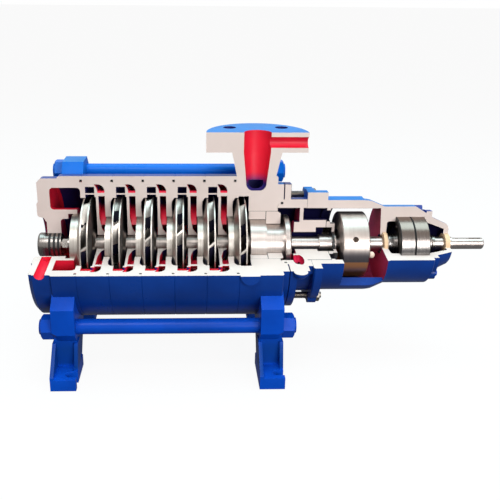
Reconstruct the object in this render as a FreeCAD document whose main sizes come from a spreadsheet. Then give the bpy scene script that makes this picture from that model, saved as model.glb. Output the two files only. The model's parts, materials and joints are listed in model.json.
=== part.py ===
import FreeCAD, Part
import math
import os

import Sketcher

# A six-stage ring-section pump, cut open from straight up to just below the horizontal on its near side.
# X runs along the shaft towards the driving end, Y away from the viewer, Z up. The floor is at Z = 0 and
# the discharge nozzle stands on X = 0, Y = 0.

os.makedirs("parts", exist_ok=True)
doc = FreeCAD.newDocument("SectionedPump")

# Driving dimensions, in millimetres and degrees
sizes = {
    "centreHeight": 190, "cutAngle": 4, "stagePitch": 51.6, "suctionWidth": 76,
    "dischargeLeft": 33.6, "dischargeRight": 36.8, "casingRadius": 121, "endRadius": 117,
    "casingBore": 107, "edgeBreak": 0.8,
    # casing joints
    "grooveInner": 110.6, "grooveOuter": 115, "grooveDepth": 4.4, "lipInner": 83.5,
    # suction casing
    "hubBore": 21, "hubLeft": 12.5, "hubRight": 36.2, "mouthRadius": 48, "chamberInner": 63,
    "chamberOuter": 101, "chamberLeft": 20.5, "chamberRound": 6, "eyeSeat": 46.5,
    "drainRadius": 8.3, "drainBack": 18.5, "drainBoss": 17.4, "wellBack": 24.6, "wellRadius": 18.2,
    "suctionReach": 205, "suctionBore": 25, "suctionThroat": 19, "throatStart": 70, "neckRoot": 26,
    "neckEnd": 34, "suctionFlange": 82.5, "suctionFlangeThick": 20, "suctionBoltCircle": 62.5,
    "suctionBoltRadius": 9, "suctionAxisBack": 26.4,
    # stage wall and return passage
    "wallThick": 15.1, "wallRelief": 6.2, "crossoverRound": 12, "wearSeat": 50.5, "wearThick": 3.3,
    # diffuser
    "diffuserFront": 4.3, "diffuserBack": 19.5, "plateLeft": 21.7, "plateRight": 25.9,
    "ringInner": 102.5, "plateTop": 103.5, "plateHub": 17.3, "vaneThick": 3.4, "vaneInner": 86.5,
    "diffuserVanes": 7, "returnVanes": 8, "returnInner": 34,
    # impellers
    "impellerRadius": 82.4, "rimFront": 1.7, "rimBack": 14.8, "shroudThick": 2,
    "eyeRadius": 47, "eyeLeft": 13.8, "eyeRight": 4.5, "firstEyeRadius": 55, "firstEyeLeft": 18.6,
    "firstEyeRight": 6.5, "eyeWall": 4, "hubRadius": 19.5, "hubFront": 8, "hubBack": 19,
    "vaneStart": 36, "vaneWrap": 85, "vaneBend": 70, "vaneTip": 2.7, "vaneLean": 6, "impellerVanes": 6,
    # rotor
    "shaftRadius": 13, "journalRadius": 10, "sleeveRadius": 16.5, "shaftEnd": 401, "stubRadius": 10,
    "drumLeft": -12.4, "drumStep": 19.4, "drumRadius": 44.3, "drumSmall": 36.2, "discLeft": 48.6,
    "discRight": 57.6, "discRadius": 51.5, "sealSleeveRadius": 16.4, "sealSleeveLeft": 111,
    "collarLeft": 143.4, "collarRight": 188.5, "collarRadius": 56.5, "collarHole": 4.8,
    "knobRadius": 5.6, "knobReach": 46,
    "runningGap": 0.3, "fitGap": 0.05,
    # bearings
    "bearingLeft": 243, "bearingWidth": 25, "bearingRadius": 49, "bearingBore": 15, "ballRadius": 8.2,
    "ballCircle": 32.5, "ballCount": 8, "raceThick": 7.5,
    # discharge casing
    "nozzleRadius": 22.6, "nozzleFoot": 17, "nozzleBottom": 96, "neckTop": 42, "neckFoot": 33.3,
    "flangeTop": 194.5, "flangeThick": 33.5, "flangeRadius": 85, "flangeBoltCircle": 62.5,
    "flangeBoltRadius": 11, "gaugeRadius": 9, "gaugeDrop": 16.5, "bossRadius": 107, "bossRight": 47.2,
    "lastRingOuter": 92, "lastRingInner": 86, "lastWall": 21.6, "bushSeat": 60, "spigotBore": 72,
    "counterbore": 38, "bushStep": 18, "bushRight": 44, "padRadius": 15.5, "padLeft": 17, "padRise": 3.5,
    # ears, tie rods and feet
    "rodOffset": 104.4, "rodRadius": 12.7, "rodGap": 0.5, "nutAcross": 36, "nutThick": 20,
    "rodStickOut": 3, "earFlat": 130, "earCorner": 108, "earSide": 64, "earRootNear": 43,
    "earRootFar": 104, "earWidth": 37, "earBevel": 8, "earHeel": 136, "footWidth": 41, "footFront": 163,
    "footThick": 20, "footBack": 78, "legFront": 118, "legBack": 98, "legTop": 112, "legInner": 64,
    "legKnee": 158, "legRoot": 30, "ribThick": 6, "boltNotch": 7.5, "notchDepth": 19, "notchSetBack": 18,
    # seal housing and cover
    "housingFlangeLeft": 48.8, "housingFlangeRight": 60, "housingBarrel": 81, "housingBore": 65,
    "housingRight": 88.5, "webLeft": 76, "webRight": 83, "sealHubLeft": 67, "sealHubBore": 21.5,
    "sealHubRadius": 44, "sealHubStep": 40.5, "sealBoxLeft": 106, "sealBoxRadius": 30,
    "sealHubRight": 123, "coverRight": 138.4, "coverRadius": 41.6, "sealRing": 21.5,
    "ribSlit": 1, "ribSweep": 10, "shelfRadius": 88.3, "bossMiddle": 68.4, "bossReach": 106.5,
    "bossRound": 12.3, "domeMiddle": 64.8, "pocketMiddle": 69.9, "pocketReach": 64.2,
    "pocketHalf": 6.5, "pocketLong": 18.2, "pocketDeep": 12,
    # bearing bracket
    "bracketLeft": 88.5, "collarLip": 123.4, "bracketCollar": 97, "bracketTop": 92.6, "blockHalf": 14,
    "lanternRadius": 79, "lanternBore": 64.5, "windowLeft": 141, "windowRight": 216, "windowUp": 55,
    "windowDown": 30, "windowNear": 33, "wallDraft": 3, "deckHalf": 24, "taperStart": 187,
    "housingStart": 222, "bearingHousing": 67.7, "backWall": 229, "shaftHole": 17, "feltLeft": 222.5,
    "feltRadius": 21, "cavityRadius": 41, "endFace": 296, "endBevel": 276, "endTop": 55.5,
    "bevelSweep": 22, "studCircle": 89, "studRadius": 6, "lugRadius": 13, "lugThick": 14,
    "studNutAcross": 19, "studNutThick": 7,
    # end cover
    "coverFlange": 306, "coverFlangeRadius": 59, "coverNose": 338, "coverNoseRadius": 27,
    "coverWall": 8.5, "screwCircle": 55, "screwLug": 11, "screwHead": 5, "lipOuter": 18.5,
}

sheet = doc.addObject("Spreadsheet::Sheet", "Sizes")
for row, (alias, number) in enumerate(sizes.items(), start=1):
    sheet.set(f"A{row}", alias)
    sheet.set(f"B{row}", str(number))
    sheet.setAlias(f"B{row}", alias)
doc.recompute()


# A number that also remembers the formula it came from, so a sketch can be drawn and bound in one go
class Length:
    def __init__(self, number, formula=None):
        self.number = float(number)
        self.formula = formula or repr(float(number))

    def join(self, other, sign, number):
        return Length(number, f"({self.formula} {sign} {other.formula})")

    def __add__(self, other):
        other = asLength(other)
        return self.join(other, "+", self.number + other.number)

    def __sub__(self, other):
        other = asLength(other)
        return self.join(other, "-", self.number - other.number)

    def __mul__(self, other):
        other = asLength(other)
        return self.join(other, "*", self.number * other.number)

    def __truediv__(self, other):
        other = asLength(other)
        return self.join(other, "/", self.number / other.number)

    def __neg__(self):
        return asLength(0) - self

    __radd__ = __add__
    __rmul__ = __mul__

    def __rsub__(self, other):
        return asLength(other) - self

    def __rtruediv__(self, other):
        return asLength(other) / self

    def sine(self):
        return Length(math.sin(math.radians(self.number)), f"sin({self.formula})")

    def cosine(self):
        return Length(math.cos(math.radians(self.number)), f"cos({self.formula})")


def asLength(value):
    return value if isinstance(value, Length) else Length(value)


class SizeNames:
    def __getattr__(self, alias):
        return Length(sizes[alias], f"<<Sizes>>.{alias}")


s = SizeNames()


def bind(item, path, value):
    item.setExpression(path, asLength(value).formula)


# Every piece is a body that is modelled round the shaft axis and then lifted to the centre height
def newBody(label, along=0, turn=None):
    body = doc.addObject("PartDesign::Body", label)
    body.Label = label
    body.AllowCompound = True
    if turn is not None:
        body.Placement = FreeCAD.Placement(
            FreeCAD.Vector(), FreeCAD.Rotation(FreeCAD.Vector(1, 0, 0), turn))
    bind(body, "Placement.Base.x", along)
    bind(body, "Placement.Base.z", s.centreHeight)
    return body


def originPart(body, role):
    return next(part for part in body.Origin.OriginFeatures if part.Role == role)


def newSketch(body, name, plane, away=0, tilt=None):
    sketch = body.newObject("Sketcher::SketchObject", name)
    sketch.AttachmentSupport = [(originPart(body, plane), "")]
    sketch.MapMode = "FlatFace"
    away = asLength(away)
    rotation = FreeCAD.Rotation()
    if tilt is not None:
        rotation = FreeCAD.Rotation(FreeCAD.Vector(1, 0, 0), asLength(tilt).number)
    sketch.AttachmentOffset = FreeCAD.Placement(FreeCAD.Vector(0, 0, away.number), rotation)
    if away.formula != "0.0":
        bind(sketch, "AttachmentOffset.Base.z", away)
    if tilt is not None:
        bind(sketch, "AttachmentOffset.Rotation.Angle", tilt)
    return sketch


# A corner is (x, y). A corner with two more values, (x, y, radius, side), is reached by an arc.
def drawLoop(sketch, corners):
    corners = [tuple(asLength(value) for value in corner) for corner in corners]
    constraints, formulas = [], []
    firstEdge = sketch.GeometryCount
    ends = []
    for index, corner in enumerate(corners):
        before = corners[index - 1]
        start = FreeCAD.Vector(before[0].number, before[1].number, 0)
        end = FreeCAD.Vector(corner[0].number, corner[1].number, 0)
        if len(corner) == 2:
            edge = sketch.addGeometry(Part.LineSegment(start, end))
            ends.append((edge, 1, 2))
            continue
        radius, side = corner[2].number, corner[3].number
        chord = end - start
        middle = (start + end) * 0.5
        across = FreeCAD.Vector(-chord.y, chord.x, 0).normalize() * side
        rise = math.sqrt(max(radius ** 2 - (chord.Length / 2) ** 2, 0))
        centre = middle + across * rise
        crown = centre - across * radius
        edge = sketch.addGeometry(Part.Arc(start, crown, end))
        flipped = sketch.getPoint(edge, 1).distanceToPoint(start) > 1e-6
        ends.append((edge, 2, 1) if flipped else (edge, 1, 2))
        formulas.append((len(constraints), corner[2]))
        constraints.append(Sketcher.Constraint("Radius", edge, radius))
    for index, corner in enumerate(corners):
        edge, _, last = ends[index]
        follower, first, _ = ends[(index + 1) % len(corners)]
        constraints.append(Sketcher.Constraint("Coincident", edge, last, follower, first))
        for kind, axis, value in (("DistanceX", -2, corner[0]), ("DistanceY", -1, corner[1])):
            if abs(value.number) < 1e-9:
                constraints.append(Sketcher.Constraint("PointOnObject", edge, last, axis))
                continue
            formulas.append((len(constraints), value))
            constraints.append(Sketcher.Constraint(kind, -1, 1, edge, last, value.number))
    offset = sketch.ConstraintCount
    sketch.addConstraint(constraints)
    for index, value in formulas:
        if "Sizes" in value.formula:
            bind(sketch, f"Constraints[{offset + index}]", value)
    return firstEdge


# Features that are turned about the shaft axis
def turned(body, name, *loops, kind="Revolution", tilt=None, sweep=None):
    sketch = newSketch(body, name + "Profile", "XY_Plane", tilt=tilt)
    for loop in loops:
        drawLoop(sketch, loop)
    feature = body.newObject("PartDesign::" + kind, name)
    feature.Profile = sketch
    feature.ReferenceAxis = (sketch, ["H_Axis"])
    feature.Angle = 360
    if sweep is not None:
        feature.Angle = asLength(sweep).number
        bind(feature, "Angle", sweep)
    sketch.Visibility = False
    return feature


# Features that are drawn across the shaft and pushed along it, from one X to another
def pushed(body, name, start, end, *loops, kind="Pad"):
    sketch = newSketch(body, name + "Profile", "YZ_Plane", away=start)
    for loop in loops:
        drawLoop(sketch, loop)
    feature = body.newObject("PartDesign::" + kind, name)
    feature.Profile = sketch
    length = asLength(end) - start
    feature.Length = length.number
    bind(feature, "Length", length)
    if kind == "Pocket":
        feature.Reversed = True
    sketch.Visibility = False
    return feature


# A round or boxed shape that is added or taken away, with its start point and the way it points
def plainShape(body, kind, name, start, direction, **dimensions):
    feature = body.newObject("PartDesign::" + kind, name)
    for prop, value in dimensions.items():
        value = asLength(value)
        setattr(feature, prop, value.number)
        if "Sizes" in value.formula:
            bind(feature, prop, value)
    rotation = FreeCAD.Rotation(FreeCAD.Vector(0, 0, 1), FreeCAD.Vector(*direction))
    start = [asLength(value) for value in start]
    feature.Placement = FreeCAD.Placement(
        FreeCAD.Vector(*(value.number for value in start)), rotation)
    for axis, value in zip("xyz", start):
        if "Sizes" in value.formula:
            bind(feature, f"Placement.Base.{axis}", value)
    return feature


def aroundShaft(body, name, feature, count):
    pattern = body.newObject("PartDesign::PolarPattern", name)
    pattern.Originals = [feature]
    pattern.Axis = (originPart(body, "X_Axis"), [""])
    pattern.Angle = 360
    pattern.Occurrences = int(count.number)
    bind(pattern, "Occurrences", count)
    body.Tip = pattern
    return pattern


# The sector that is missing from every casting, from straight up to just below the horizontal
def cutSector(body):
    reach = 400
    sink = s.cutAngle.sine() / s.cutAngle.cosine() * reach
    sketch = newSketch(body, "SectorOutline", "YZ_Plane", away=-500)
    drawLoop(sketch, [(0, 0), (0, reach), (-reach, reach), (-reach, -sink)])
    pocket = body.newObject("PartDesign::Pocket", "Sector")
    pocket.Profile = sketch
    pocket.Length = 1200
    pocket.Reversed = True
    sketch.Visibility = False
    body.Tip = pocket
    return pocket


def polar(radius, angle):
    radius, angle = asLength(radius), asLength(angle)
    return -radius * angle.sine(), radius * angle.cosine()


def ring(left, right, inner, outer):
    return [(left, inner), (left, outer), (right, outer), (right, inner)]


# A hexagon across flats, centred on (x, y) of a sketch
def hexagon(x, y, across):
    corner = asLength(across) / math.sqrt(3)
    return [(x + corner * math.cos(math.radians(60 * side)),
             y + corner * math.sin(math.radians(60 * side))) for side in range(6)]


# A point at a radius in the lower cut face, and the way that face runs outwards
fall = (0, -math.cos(math.radians(sizes["cutAngle"])), -math.sin(math.radians(sizes["cutAngle"])))


def along(x, radius):
    return x, -radius * s.cutAngle.cosine(), -radius * s.cutAngle.sine()


# Joints between the ring sections, numbered from the suction end
stageCount = 6
joint = [-s.dischargeLeft - (stageCount - 1 - index) * s.stagePitch for index in range(stageCount)]
suctionLeft = joint[0] - s.suctionWidth
corners = [(1, 1), (1, -1), (-1, -1), (-1, 1)]
made = []


# Ears for the tie rods: a tapered block round each rod, grown out of the casing. The two that stand on the
# feet are deeper, and their lower corner is bevelled towards the end of the pump.
def addEars(body, left, right, outer):
    for number, (side, level) in enumerate(corners):
        heel = s.earFlat if level > 0 else s.earHeel
        start, end = left, right
        root = [(side * s.earRootFar, level * s.earRootNear), (side * s.earFlat, level * s.earSide)]
        full = root + [
            (side * s.earFlat, level * s.earCorner), (side * s.earCorner, level * heel),
            (side * s.earSide, level * heel), (side * s.earRootNear, level * s.earRootFar)]
        if level < 0:
            reduced = root + [
                (side * s.earFlat, level * (s.earCorner - 4)), (side * (s.earCorner + 13), level * s.legTop),
                (side * s.earSide, level * s.legTop), (side * s.earRootNear, level * s.earRootFar)]
            edge = left if outer < 0 else right
            inset = edge - outer * s.earBevel
            sketches = []
            for name, away, outline in (("Inner", inset, full), ("Outer", edge, reduced)):
                sketch = newSketch(body, f"Bevel{name}{number}", "YZ_Plane", away=away)
                drawLoop(sketch, outline)
                sketch.Visibility = False
                sketches.append(sketch)
            bevel = body.newObject("PartDesign::AdditiveLoft", f"EarBevel{number}")
            bevel.Profile = sketches[0]
            bevel.Sections = [sketches[1]]
            bevel.Ruled = True
            start, end = (inset, right) if outer < 0 else (left, inset)
        pushed(body, f"Ear{number}", start, end, full)


def addRodHoles(body, left, right):
    for number, (side, level) in enumerate(corners):
        plainShape(body, "SubtractiveCylinder", f"RodHole{number}",
                   (left - 5, side * s.rodOffset, level * s.rodOffset), (1, 0, 0),
                   Radius=s.rodRadius + s.rodGap, Height=right - left + 10)


# Feet: a slotted pad, a leg that leans in under the casing and two gussets with a channel between them.
# The gusset beside the slot stops short of it.
def addFeet(body, left, right):
    floor = -s.centreHeight
    for number, side in enumerate((-1, 1)):
        pad = [(side * s.footBack, floor), (side * s.footFront, floor),
               (side * s.footFront, floor + s.footThick), (side * s.footBack, floor + s.footThick)]
        pushed(body, f"Pad{number}", left, right, pad)
        leg = [(side * s.footBack, floor + s.footThick / 2), (side * s.legFront, floor + s.footThick / 2),
               (side * s.legFront, -s.legTop), (side * s.legRoot, -s.legTop), (side * s.legInner, -s.legKnee)]
        pushed(body, f"Leg{number}", left + 2, right - 2, leg)
        slotMiddle = side * (s.footFront - s.notchSetBack)
        slotInner = s.footFront - s.notchSetBack - s.boltNotch - 3
        for name, start, reach in (("Left", left, s.footFront), ("Right", right - s.ribThick, slotInner)):
            gusset = [(side * s.legBack, floor + s.footThick / 2), (side * reach, floor + s.footThick / 2),
                      (side * reach, floor + s.footThick + 3),
                      (side * (s.legFront + 4), -s.earFlat + 4), (side * s.legBack, -s.earFlat + 4)]
            pushed(body, f"Gusset{name}{number}", start, start + s.ribThick, gusset)
        plainShape(body, "SubtractiveBox", f"Notch{number}",
                   (right - s.notchDepth + s.boltNotch, slotMiddle - s.boltNotch, floor - 1), (0, 0, 1),
                   Length=s.notchDepth, Width=s.boltNotch * 2, Height=s.footThick + 18)
        plainShape(body, "SubtractiveCylinder", f"NotchEnd{number}",
                   (right - s.notchDepth + s.boltNotch, slotMiddle, floor - 1), (0, 0, 1),
                   Radius=s.boltNotch, Height=s.footThick + 18)


# Suction casing
def makeSuctionCasing():
    body = newBody("suction_casing")
    left, face = suctionLeft, joint[0]
    earLeft = left + 33.8
    neckAxis = face - s.suctionAxisBack
    wallEnd, chamberLeft, around = face - 11, left + s.chamberLeft, s.chamberRound
    turned(body, "Casting", [
        (left + s.hubLeft, s.hubBore), (left + s.hubLeft, s.mouthRadius - 8), (left + 8, s.mouthRadius),
        (left, s.mouthRadius + 2), (left - 2.5, s.mouthRadius + 5), (left - 2.5, 73), (left, 76),
        (left, s.endRadius - 7),
        (left + 7, s.endRadius), (left + 34, s.endRadius), (left + 37, s.casingRadius),
        (face - s.edgeBreak, s.casingRadius), (face, s.casingRadius - s.edgeBreak),
        (face, s.grooveOuter), (face - s.grooveDepth, s.grooveOuter),
        (face - s.grooveDepth, s.grooveInner), (face, s.grooveInner), (face, s.lipInner),
        (face - 4.2, s.lipInner), (face - 4.2, s.chamberOuter - around),
        (face - 4.2 - around, s.chamberOuter, around, 1), (chamberLeft + around, s.chamberOuter),
        (chamberLeft, s.chamberOuter - around, around, 1), (chamberLeft, s.chamberInner + around),
        (chamberLeft + around, s.chamberInner, around, 1), (wallEnd, s.chamberInner),
        (wallEnd, s.firstEyeRadius + s.runningGap), (face - 26.4, s.firstEyeRadius + s.runningGap),
        (face - 26.4, s.eyeSeat), (left + s.hubRight + 5, s.eyeSeat),
        (left + s.hubRight, s.eyeSeat - 5, 5, 1), (left + s.hubRight, s.hubBore)])
    addEars(body, earLeft, earLeft + s.earWidth, -1)
    addFeet(body, earLeft - 2, earLeft - 2 + s.footWidth)
    # suction nozzle, on the far side: slim between the casing joint and the end face, wider further out
    plainShape(body, "AdditiveCylinder", "NeckRoot", (neckAxis, s.endRadius - 12, 0), (0, 1, 0),
               Radius=s.neckRoot - 0.4, Height=s.casingRadius - s.endRadius + 13)
    plainShape(body, "AdditiveCone", "Neck", (neckAxis, s.casingRadius, 0), (0, 1, 0),
               Radius1=s.neckRoot, Radius2=s.neckEnd,
               Height=s.suctionReach - s.casingRadius - s.suctionFlangeThick / 2)
    plainShape(body, "AdditiveCylinder", "Flange",
               (neckAxis, s.suctionReach - s.suctionFlangeThick, 0), (0, 1, 0),
               Radius=s.suctionFlange, Height=s.suctionFlangeThick)
    plainShape(body, "SubtractiveCone", "NozzleBore", (neckAxis, s.throatStart, 0), (0, 1, 0),
               Radius1=s.suctionThroat, Radius2=s.suctionBore, Height=s.suctionReach - s.throatStart + 1)
    for number in range(4):
        spot = math.radians(45 + 90 * number)
        plainShape(body, "SubtractiveCylinder", f"FlangeHole{number}",
                   (neckAxis + s.suctionBoltCircle * math.cos(spot),
                    s.suctionReach - s.suctionFlangeThick - 1,
                    s.suctionBoltCircle * math.sin(spot)), (0, 1, 0),
                   Radius=s.suctionBoltRadius, Height=s.suctionFlangeThick + 2)
    addRodHoles(body, earLeft, earLeft + s.earWidth)
    turned(body, "RingGroove", ring(face - s.grooveDepth, face + 1, s.grooveInner, s.grooveOuter),
           kind="Groove")
    # drain passage, whose axis lies in the lower cut face, its boss in the chamber and the well below the hub
    boss, well = along(left + s.drainBack, s.chamberInner - 8), along(left + s.wellBack, s.hubBore - 11)
    plainShape(body, "AdditiveCylinder", "DrainBoss", boss, fall,
               Radius=s.drainBoss, Height=s.endRadius - s.chamberInner + 6)
    plainShape(body, "SubtractiveCylinder", "DrainWell", well, fall,
               Radius=s.wellRadius, Height=s.mouthRadius - s.hubBore + 10)
    plainShape(body, "SubtractiveCylinder", "Drain", along(left + s.drainBack, s.mouthRadius + 1), fall,
               Radius=s.drainRadius, Height=s.casingRadius)
    cutSector(body)
    made.append(body)


# Stage casing: a ring whose inward wall closes the return passage on its right
def makeStageCasing(number):
    body = newBody(f"stage_casing_{number}", joint[number - 1])
    face, wall = s.stagePitch, s.stagePitch - s.wallThick
    bend = s.crossoverRound
    turned(body, "Casting", [
        (0, s.casingBore), (0, s.casingRadius - s.edgeBreak), (s.edgeBreak, s.casingRadius),
        (face - s.edgeBreak, s.casingRadius), (face, s.casingRadius - s.edgeBreak),
        (face, s.grooveOuter), (face - s.grooveDepth, s.grooveOuter),
        (face - s.grooveDepth, s.grooveInner), (face, s.grooveInner), (face, s.lipInner),
        (face - 1.5, s.lipInner), (face - s.wallRelief + 0.7, 77), (face - s.wallRelief, 68),
        (face - 5, 54), (face - 5, s.wearSeat), (wall, s.wearSeat),
        (wall, s.casingBore - bend), (wall - bend, s.casingBore, bend, 1)])
    cutSector(body)
    made.append(body)


# Diffuser: front wall, outer ring and plate with vanes on both sides and windows to the return passage
def makeDiffuser(number):
    body = newBody(f"diffuser_{number}", joint[number - 1])
    wall = s.stagePitch - s.wallThick
    turned(body, "Ring", [
        (0, s.lipInner), (0, s.casingBore - s.fitGap), (s.diffuserBack, s.casingBore - s.fitGap),
        (s.diffuserBack + 2, s.plateTop), (s.diffuserBack + 4.5, s.plateTop - 5), (s.plateRight, 84),
        (s.plateRight, 48), (s.plateRight + 4, 28), (s.plateRight + 11, s.plateHub + 1.2),
        (s.plateRight + 11, s.plateHub), (s.plateLeft, s.plateHub), (s.plateLeft, 84.5),
        (s.diffuserBack, s.vaneInner - 1), (s.diffuserBack, s.ringInner),
        (s.diffuserFront, s.ringInner), (s.diffuserFront, s.lipInner)])
    step = 360 / s.diffuserVanes
    window = [polar(s.ringInner, step * 0.55), polar(s.ringInner, step * 0.9),
              polar(90, step * 0.9), polar(90, step * 0.55)]
    opening = pushed(body, "Window", s.diffuserBack - 0.5, s.plateRight + 1, window, kind="Pocket")
    aroundShaft(body, "Windows", opening, s.diffuserVanes)
    vane = [polar(s.vaneInner, -5), polar(s.ringInner + 1, 26.5) + (90, 1),
            polar(s.ringInner + 1, 21), polar(s.vaneInner + 1.4, -6.2) + (84, -1)]
    blade = pushed(body, "Vane", s.diffuserFront - 0.5, s.diffuserBack + 1, vane)
    aroundShaft(body, "Vanes", blade, s.diffuserVanes)
    back = [polar(s.returnInner, 35), polar(94.5, -5) + (76, -1),
            polar(94.5, -1.5), polar(s.returnInner + 1, 40) + (76, 1)]
    guide = pushed(body, "ReturnVane", s.plateRight - 2.6, wall - s.fitGap, back)
    aroundShaft(body, "ReturnVanes", guide, s.returnVanes)
    cutSector(body)
    made.append(body)


# Discharge casing with its upright nozzle
def makeDischargeCasing():
    body = newBody("discharge_casing")
    left, right = joint[-1], s.dischargeRight
    turned(body, "Casting", [
        (left, s.lastRingOuter), (left, s.casingRadius - s.edgeBreak), (left + s.edgeBreak, s.casingRadius),
        (right - 2, s.casingRadius), (right, s.casingRadius - 2), (right, s.bossRadius),
        (s.bossRight, s.bossRadius), (s.bossRight, s.spigotBore + 4), (s.bossRight - 4.4, s.spigotBore + 4),
        (s.bossRight - 4.4, s.spigotBore), (s.counterbore, s.spigotBore),
        (s.counterbore, s.bushSeat), (left + s.lastWall, s.bushSeat), (left + s.lastWall, s.lastRingOuter)])
    addEars(body, right + 1.7 - s.earWidth, right + 1.7, 1)
    addFeet(body, right + 3.5 - s.footWidth, right + 3.5)
    plainShape(body, "AdditiveCylinder", "NeckFoot", (0, 0, s.endRadius - 12), (0, 0, 1),
               Radius=s.neckFoot, Height=s.casingRadius - s.endRadius + 13)
    plainShape(body, "AdditiveCone", "Neck", (0, 0, s.casingRadius + 1), (0, 0, 1),
               Radius1=s.neckFoot, Radius2=s.neckTop,
               Height=s.flangeTop - s.flangeThick - s.casingRadius)
    plainShape(body, "AdditiveCylinder", "Flange", (0, 0, s.flangeTop - s.flangeThick), (0, 0, 1),
               Radius=s.flangeRadius, Height=s.flangeThick)
    plainShape(body, "AdditiveCylinder", "SidePad",
               (-s.padLeft, -s.casingRadius + 20, -s.casingRadius * s.cutAngle.sine()), (0, -1, 0),
               Radius=s.padRadius, Height=s.padRise + 20)
    # nozzle bore with its rounded end
    sketch = newSketch(body, "BoreProfile", "XZ_Plane")
    drawLoop(sketch, [
        (0, s.nozzleBottom), (0, s.flangeTop + 2), (s.nozzleRadius, s.flangeTop + 2),
        (s.nozzleRadius, s.flangeTop - s.flangeThick), (s.nozzleFoot, s.nozzleBottom + 12),
        (s.nozzleFoot - 10, s.nozzleBottom, 12, -1)])
    bore = body.newObject("PartDesign::Groove", "NozzleBore")
    bore.Profile = sketch
    bore.ReferenceAxis = (sketch, ["V_Axis"])
    bore.Angle = 360
    sketch.Visibility = False
    # collecting passage round the far side, from the nozzle down to the bottom
    turned(body, "Collector", ring(-15, 13, s.lastRingOuter - 1, 112), kind="Groove",
           tilt=Length(-88), sweep=Length(172))
    plainShape(body, "SubtractiveCylinder", "GaugeHole", (0, 0, s.flangeTop - s.gaugeDrop), (1, 0, 0),
               Radius=s.gaugeRadius, Height=s.flangeRadius + 5)
    for number in range(4):
        spot = math.radians(45 + 90 * number)
        plainShape(body, "SubtractiveCylinder", f"FlangeHole{number}",
                   (s.flangeBoltCircle * math.cos(spot), s.flangeBoltCircle * math.sin(spot),
                    s.flangeTop - s.flangeThick - 1), (0, 0, 1),
                   Radius=s.flangeBoltRadius, Height=s.flangeThick + 2)
    addRodHoles(body, right + 1.7 - s.earWidth, right + 1.7)
    cutSector(body)
    made.append(body)


# Guide ring round the last impeller, with slots towards the collecting passage
def makeLastDiffuser():
    body = newBody("diffuser_6", joint[-1])
    turned(body, "Ring", [
        (0, s.lipInner), (0, s.lastRingOuter - s.fitGap), (s.lastWall, s.lastRingOuter - s.fitGap),
        (s.lastWall, s.lastRingInner), (s.diffuserFront, s.lastRingInner), (s.diffuserFront, s.lipInner)])
    slot = [polar(s.lastRingInner - 1, 20), polar(s.lastRingOuter + 1, 9),
            polar(s.lastRingOuter + 1, 22), polar(s.lastRingInner - 1, 33)]
    opening = pushed(body, "Slot", s.diffuserFront + 0.5, s.lastWall - 3, slot, kind="Pocket")
    aroundShaft(body, "Slots", opening, s.diffuserVanes)
    cutSector(body)
    made.append(body)


# Turned rings that sit in the castings and are cut open with them
def makeTurnedRing(label, *loops, cut=True, along=0):
    body = newBody(label, along)
    turned(body, "Rings", *loops)
    if cut:
        cutSector(body)
    made.append(body)
    return body


def makeCasingRings():
    wall = [joint[index] - s.wallThick for index in range(1, stageCount)]
    makeTurnedRing("wear_rings", *[
        ring(left + 1, left + s.wallThick - 5, s.eyeRadius + s.runningGap, s.wearSeat - s.fitGap)
        for left in wall])
    makeTurnedRing("casing_o_rings", *[
        [(face - s.grooveDepth + 0.1, 112.8), (face - 2.3, 114.9), (face - 0.1, 112.8), (face - 2.3, 110.7)]
        for face in joint])
    makeTurnedRing("throttle_bush", ring(joint[-1] + s.lastWall + 0.6, s.bushStep,
                                         s.drumRadius + s.runningGap, s.bushSeat - s.fitGap))
    makeTurnedRing("throttle_ring", [
        (s.bushStep, s.drumSmall + s.runningGap), (s.bushStep, s.bushSeat - s.fitGap),
        (s.counterbore, s.bushSeat - s.fitGap), (s.bushRight, s.bushSeat - 4),
        (s.bushRight, s.drumSmall + s.runningGap)])
    makeTurnedRing("housing_o_ring", ring(s.bossRight - 4.3, s.bossRight - 0.1,
                                          s.spigotBore + 0.1, s.spigotBore + 3.9))


# Tie rods and their nuts: the rod in the missing sector is missing too
def makeTieRods():
    earLeft, earRight = suctionLeft + 33.8, s.dischargeRight + 1.7
    rods, nuts = newBody("tie_rods"), newBody("tie_rod_nuts")
    reach = s.nutThick + s.rodStickOut
    for number, (side, level) in enumerate(corners[:3]):
        place = (side * s.rodOffset, level * s.rodOffset)
        plainShape(rods, "AdditiveCylinder", f"Rod{number}", (earLeft - reach,) + place, (1, 0, 0),
                   Radius=s.rodRadius, Height=earRight - earLeft + 2 * reach)
        for end, start in (("Left", earLeft - s.nutThick), ("Right", earRight)):
            pushed(nuts, f"Nut{end}{number}", start, start + s.nutThick, hexagon(*place, s.nutAcross))
            plainShape(nuts, "SubtractiveCylinder", f"Thread{end}{number}",
                       (start - 1,) + place, (1, 0, 0), Radius=s.rodRadius, Height=s.nutThick + 2)
    made.extend([rods, nuts])


# Plain bearing bush at the closed end, a cup with three rubber rings
def makeBearingBush():
    left = suctionLeft - 2.8
    grooves = [left + 20.5, left + 28.3, left + 35.6]
    outline = [(left, 0), (left, 17), (left + 4, s.hubBore - s.fitGap, 4.5, -1)]
    for groove in grooves:
        outline += [(groove - 2, s.hubBore - s.fitGap), (groove - 2, s.hubBore - 2.4),
                    (groove + 2, s.hubBore - 2.4), (groove + 2, s.hubBore - s.fitGap)]
    outline += [(left + 39.5, s.hubBore - s.fitGap), (left + 39.5, s.journalRadius + s.fitGap),
                (left + 6, s.journalRadius + s.fitGap), (left + 6, 0)]
    makeTurnedRing("bearing_bush", outline, cut=False)
    makeTurnedRing("bush_rings", *[
        ring(groove - 1.9, groove + 1.9, s.hubBore - 2.4, s.hubBore - 0.1) for groove in grooves], cut=False)


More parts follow.
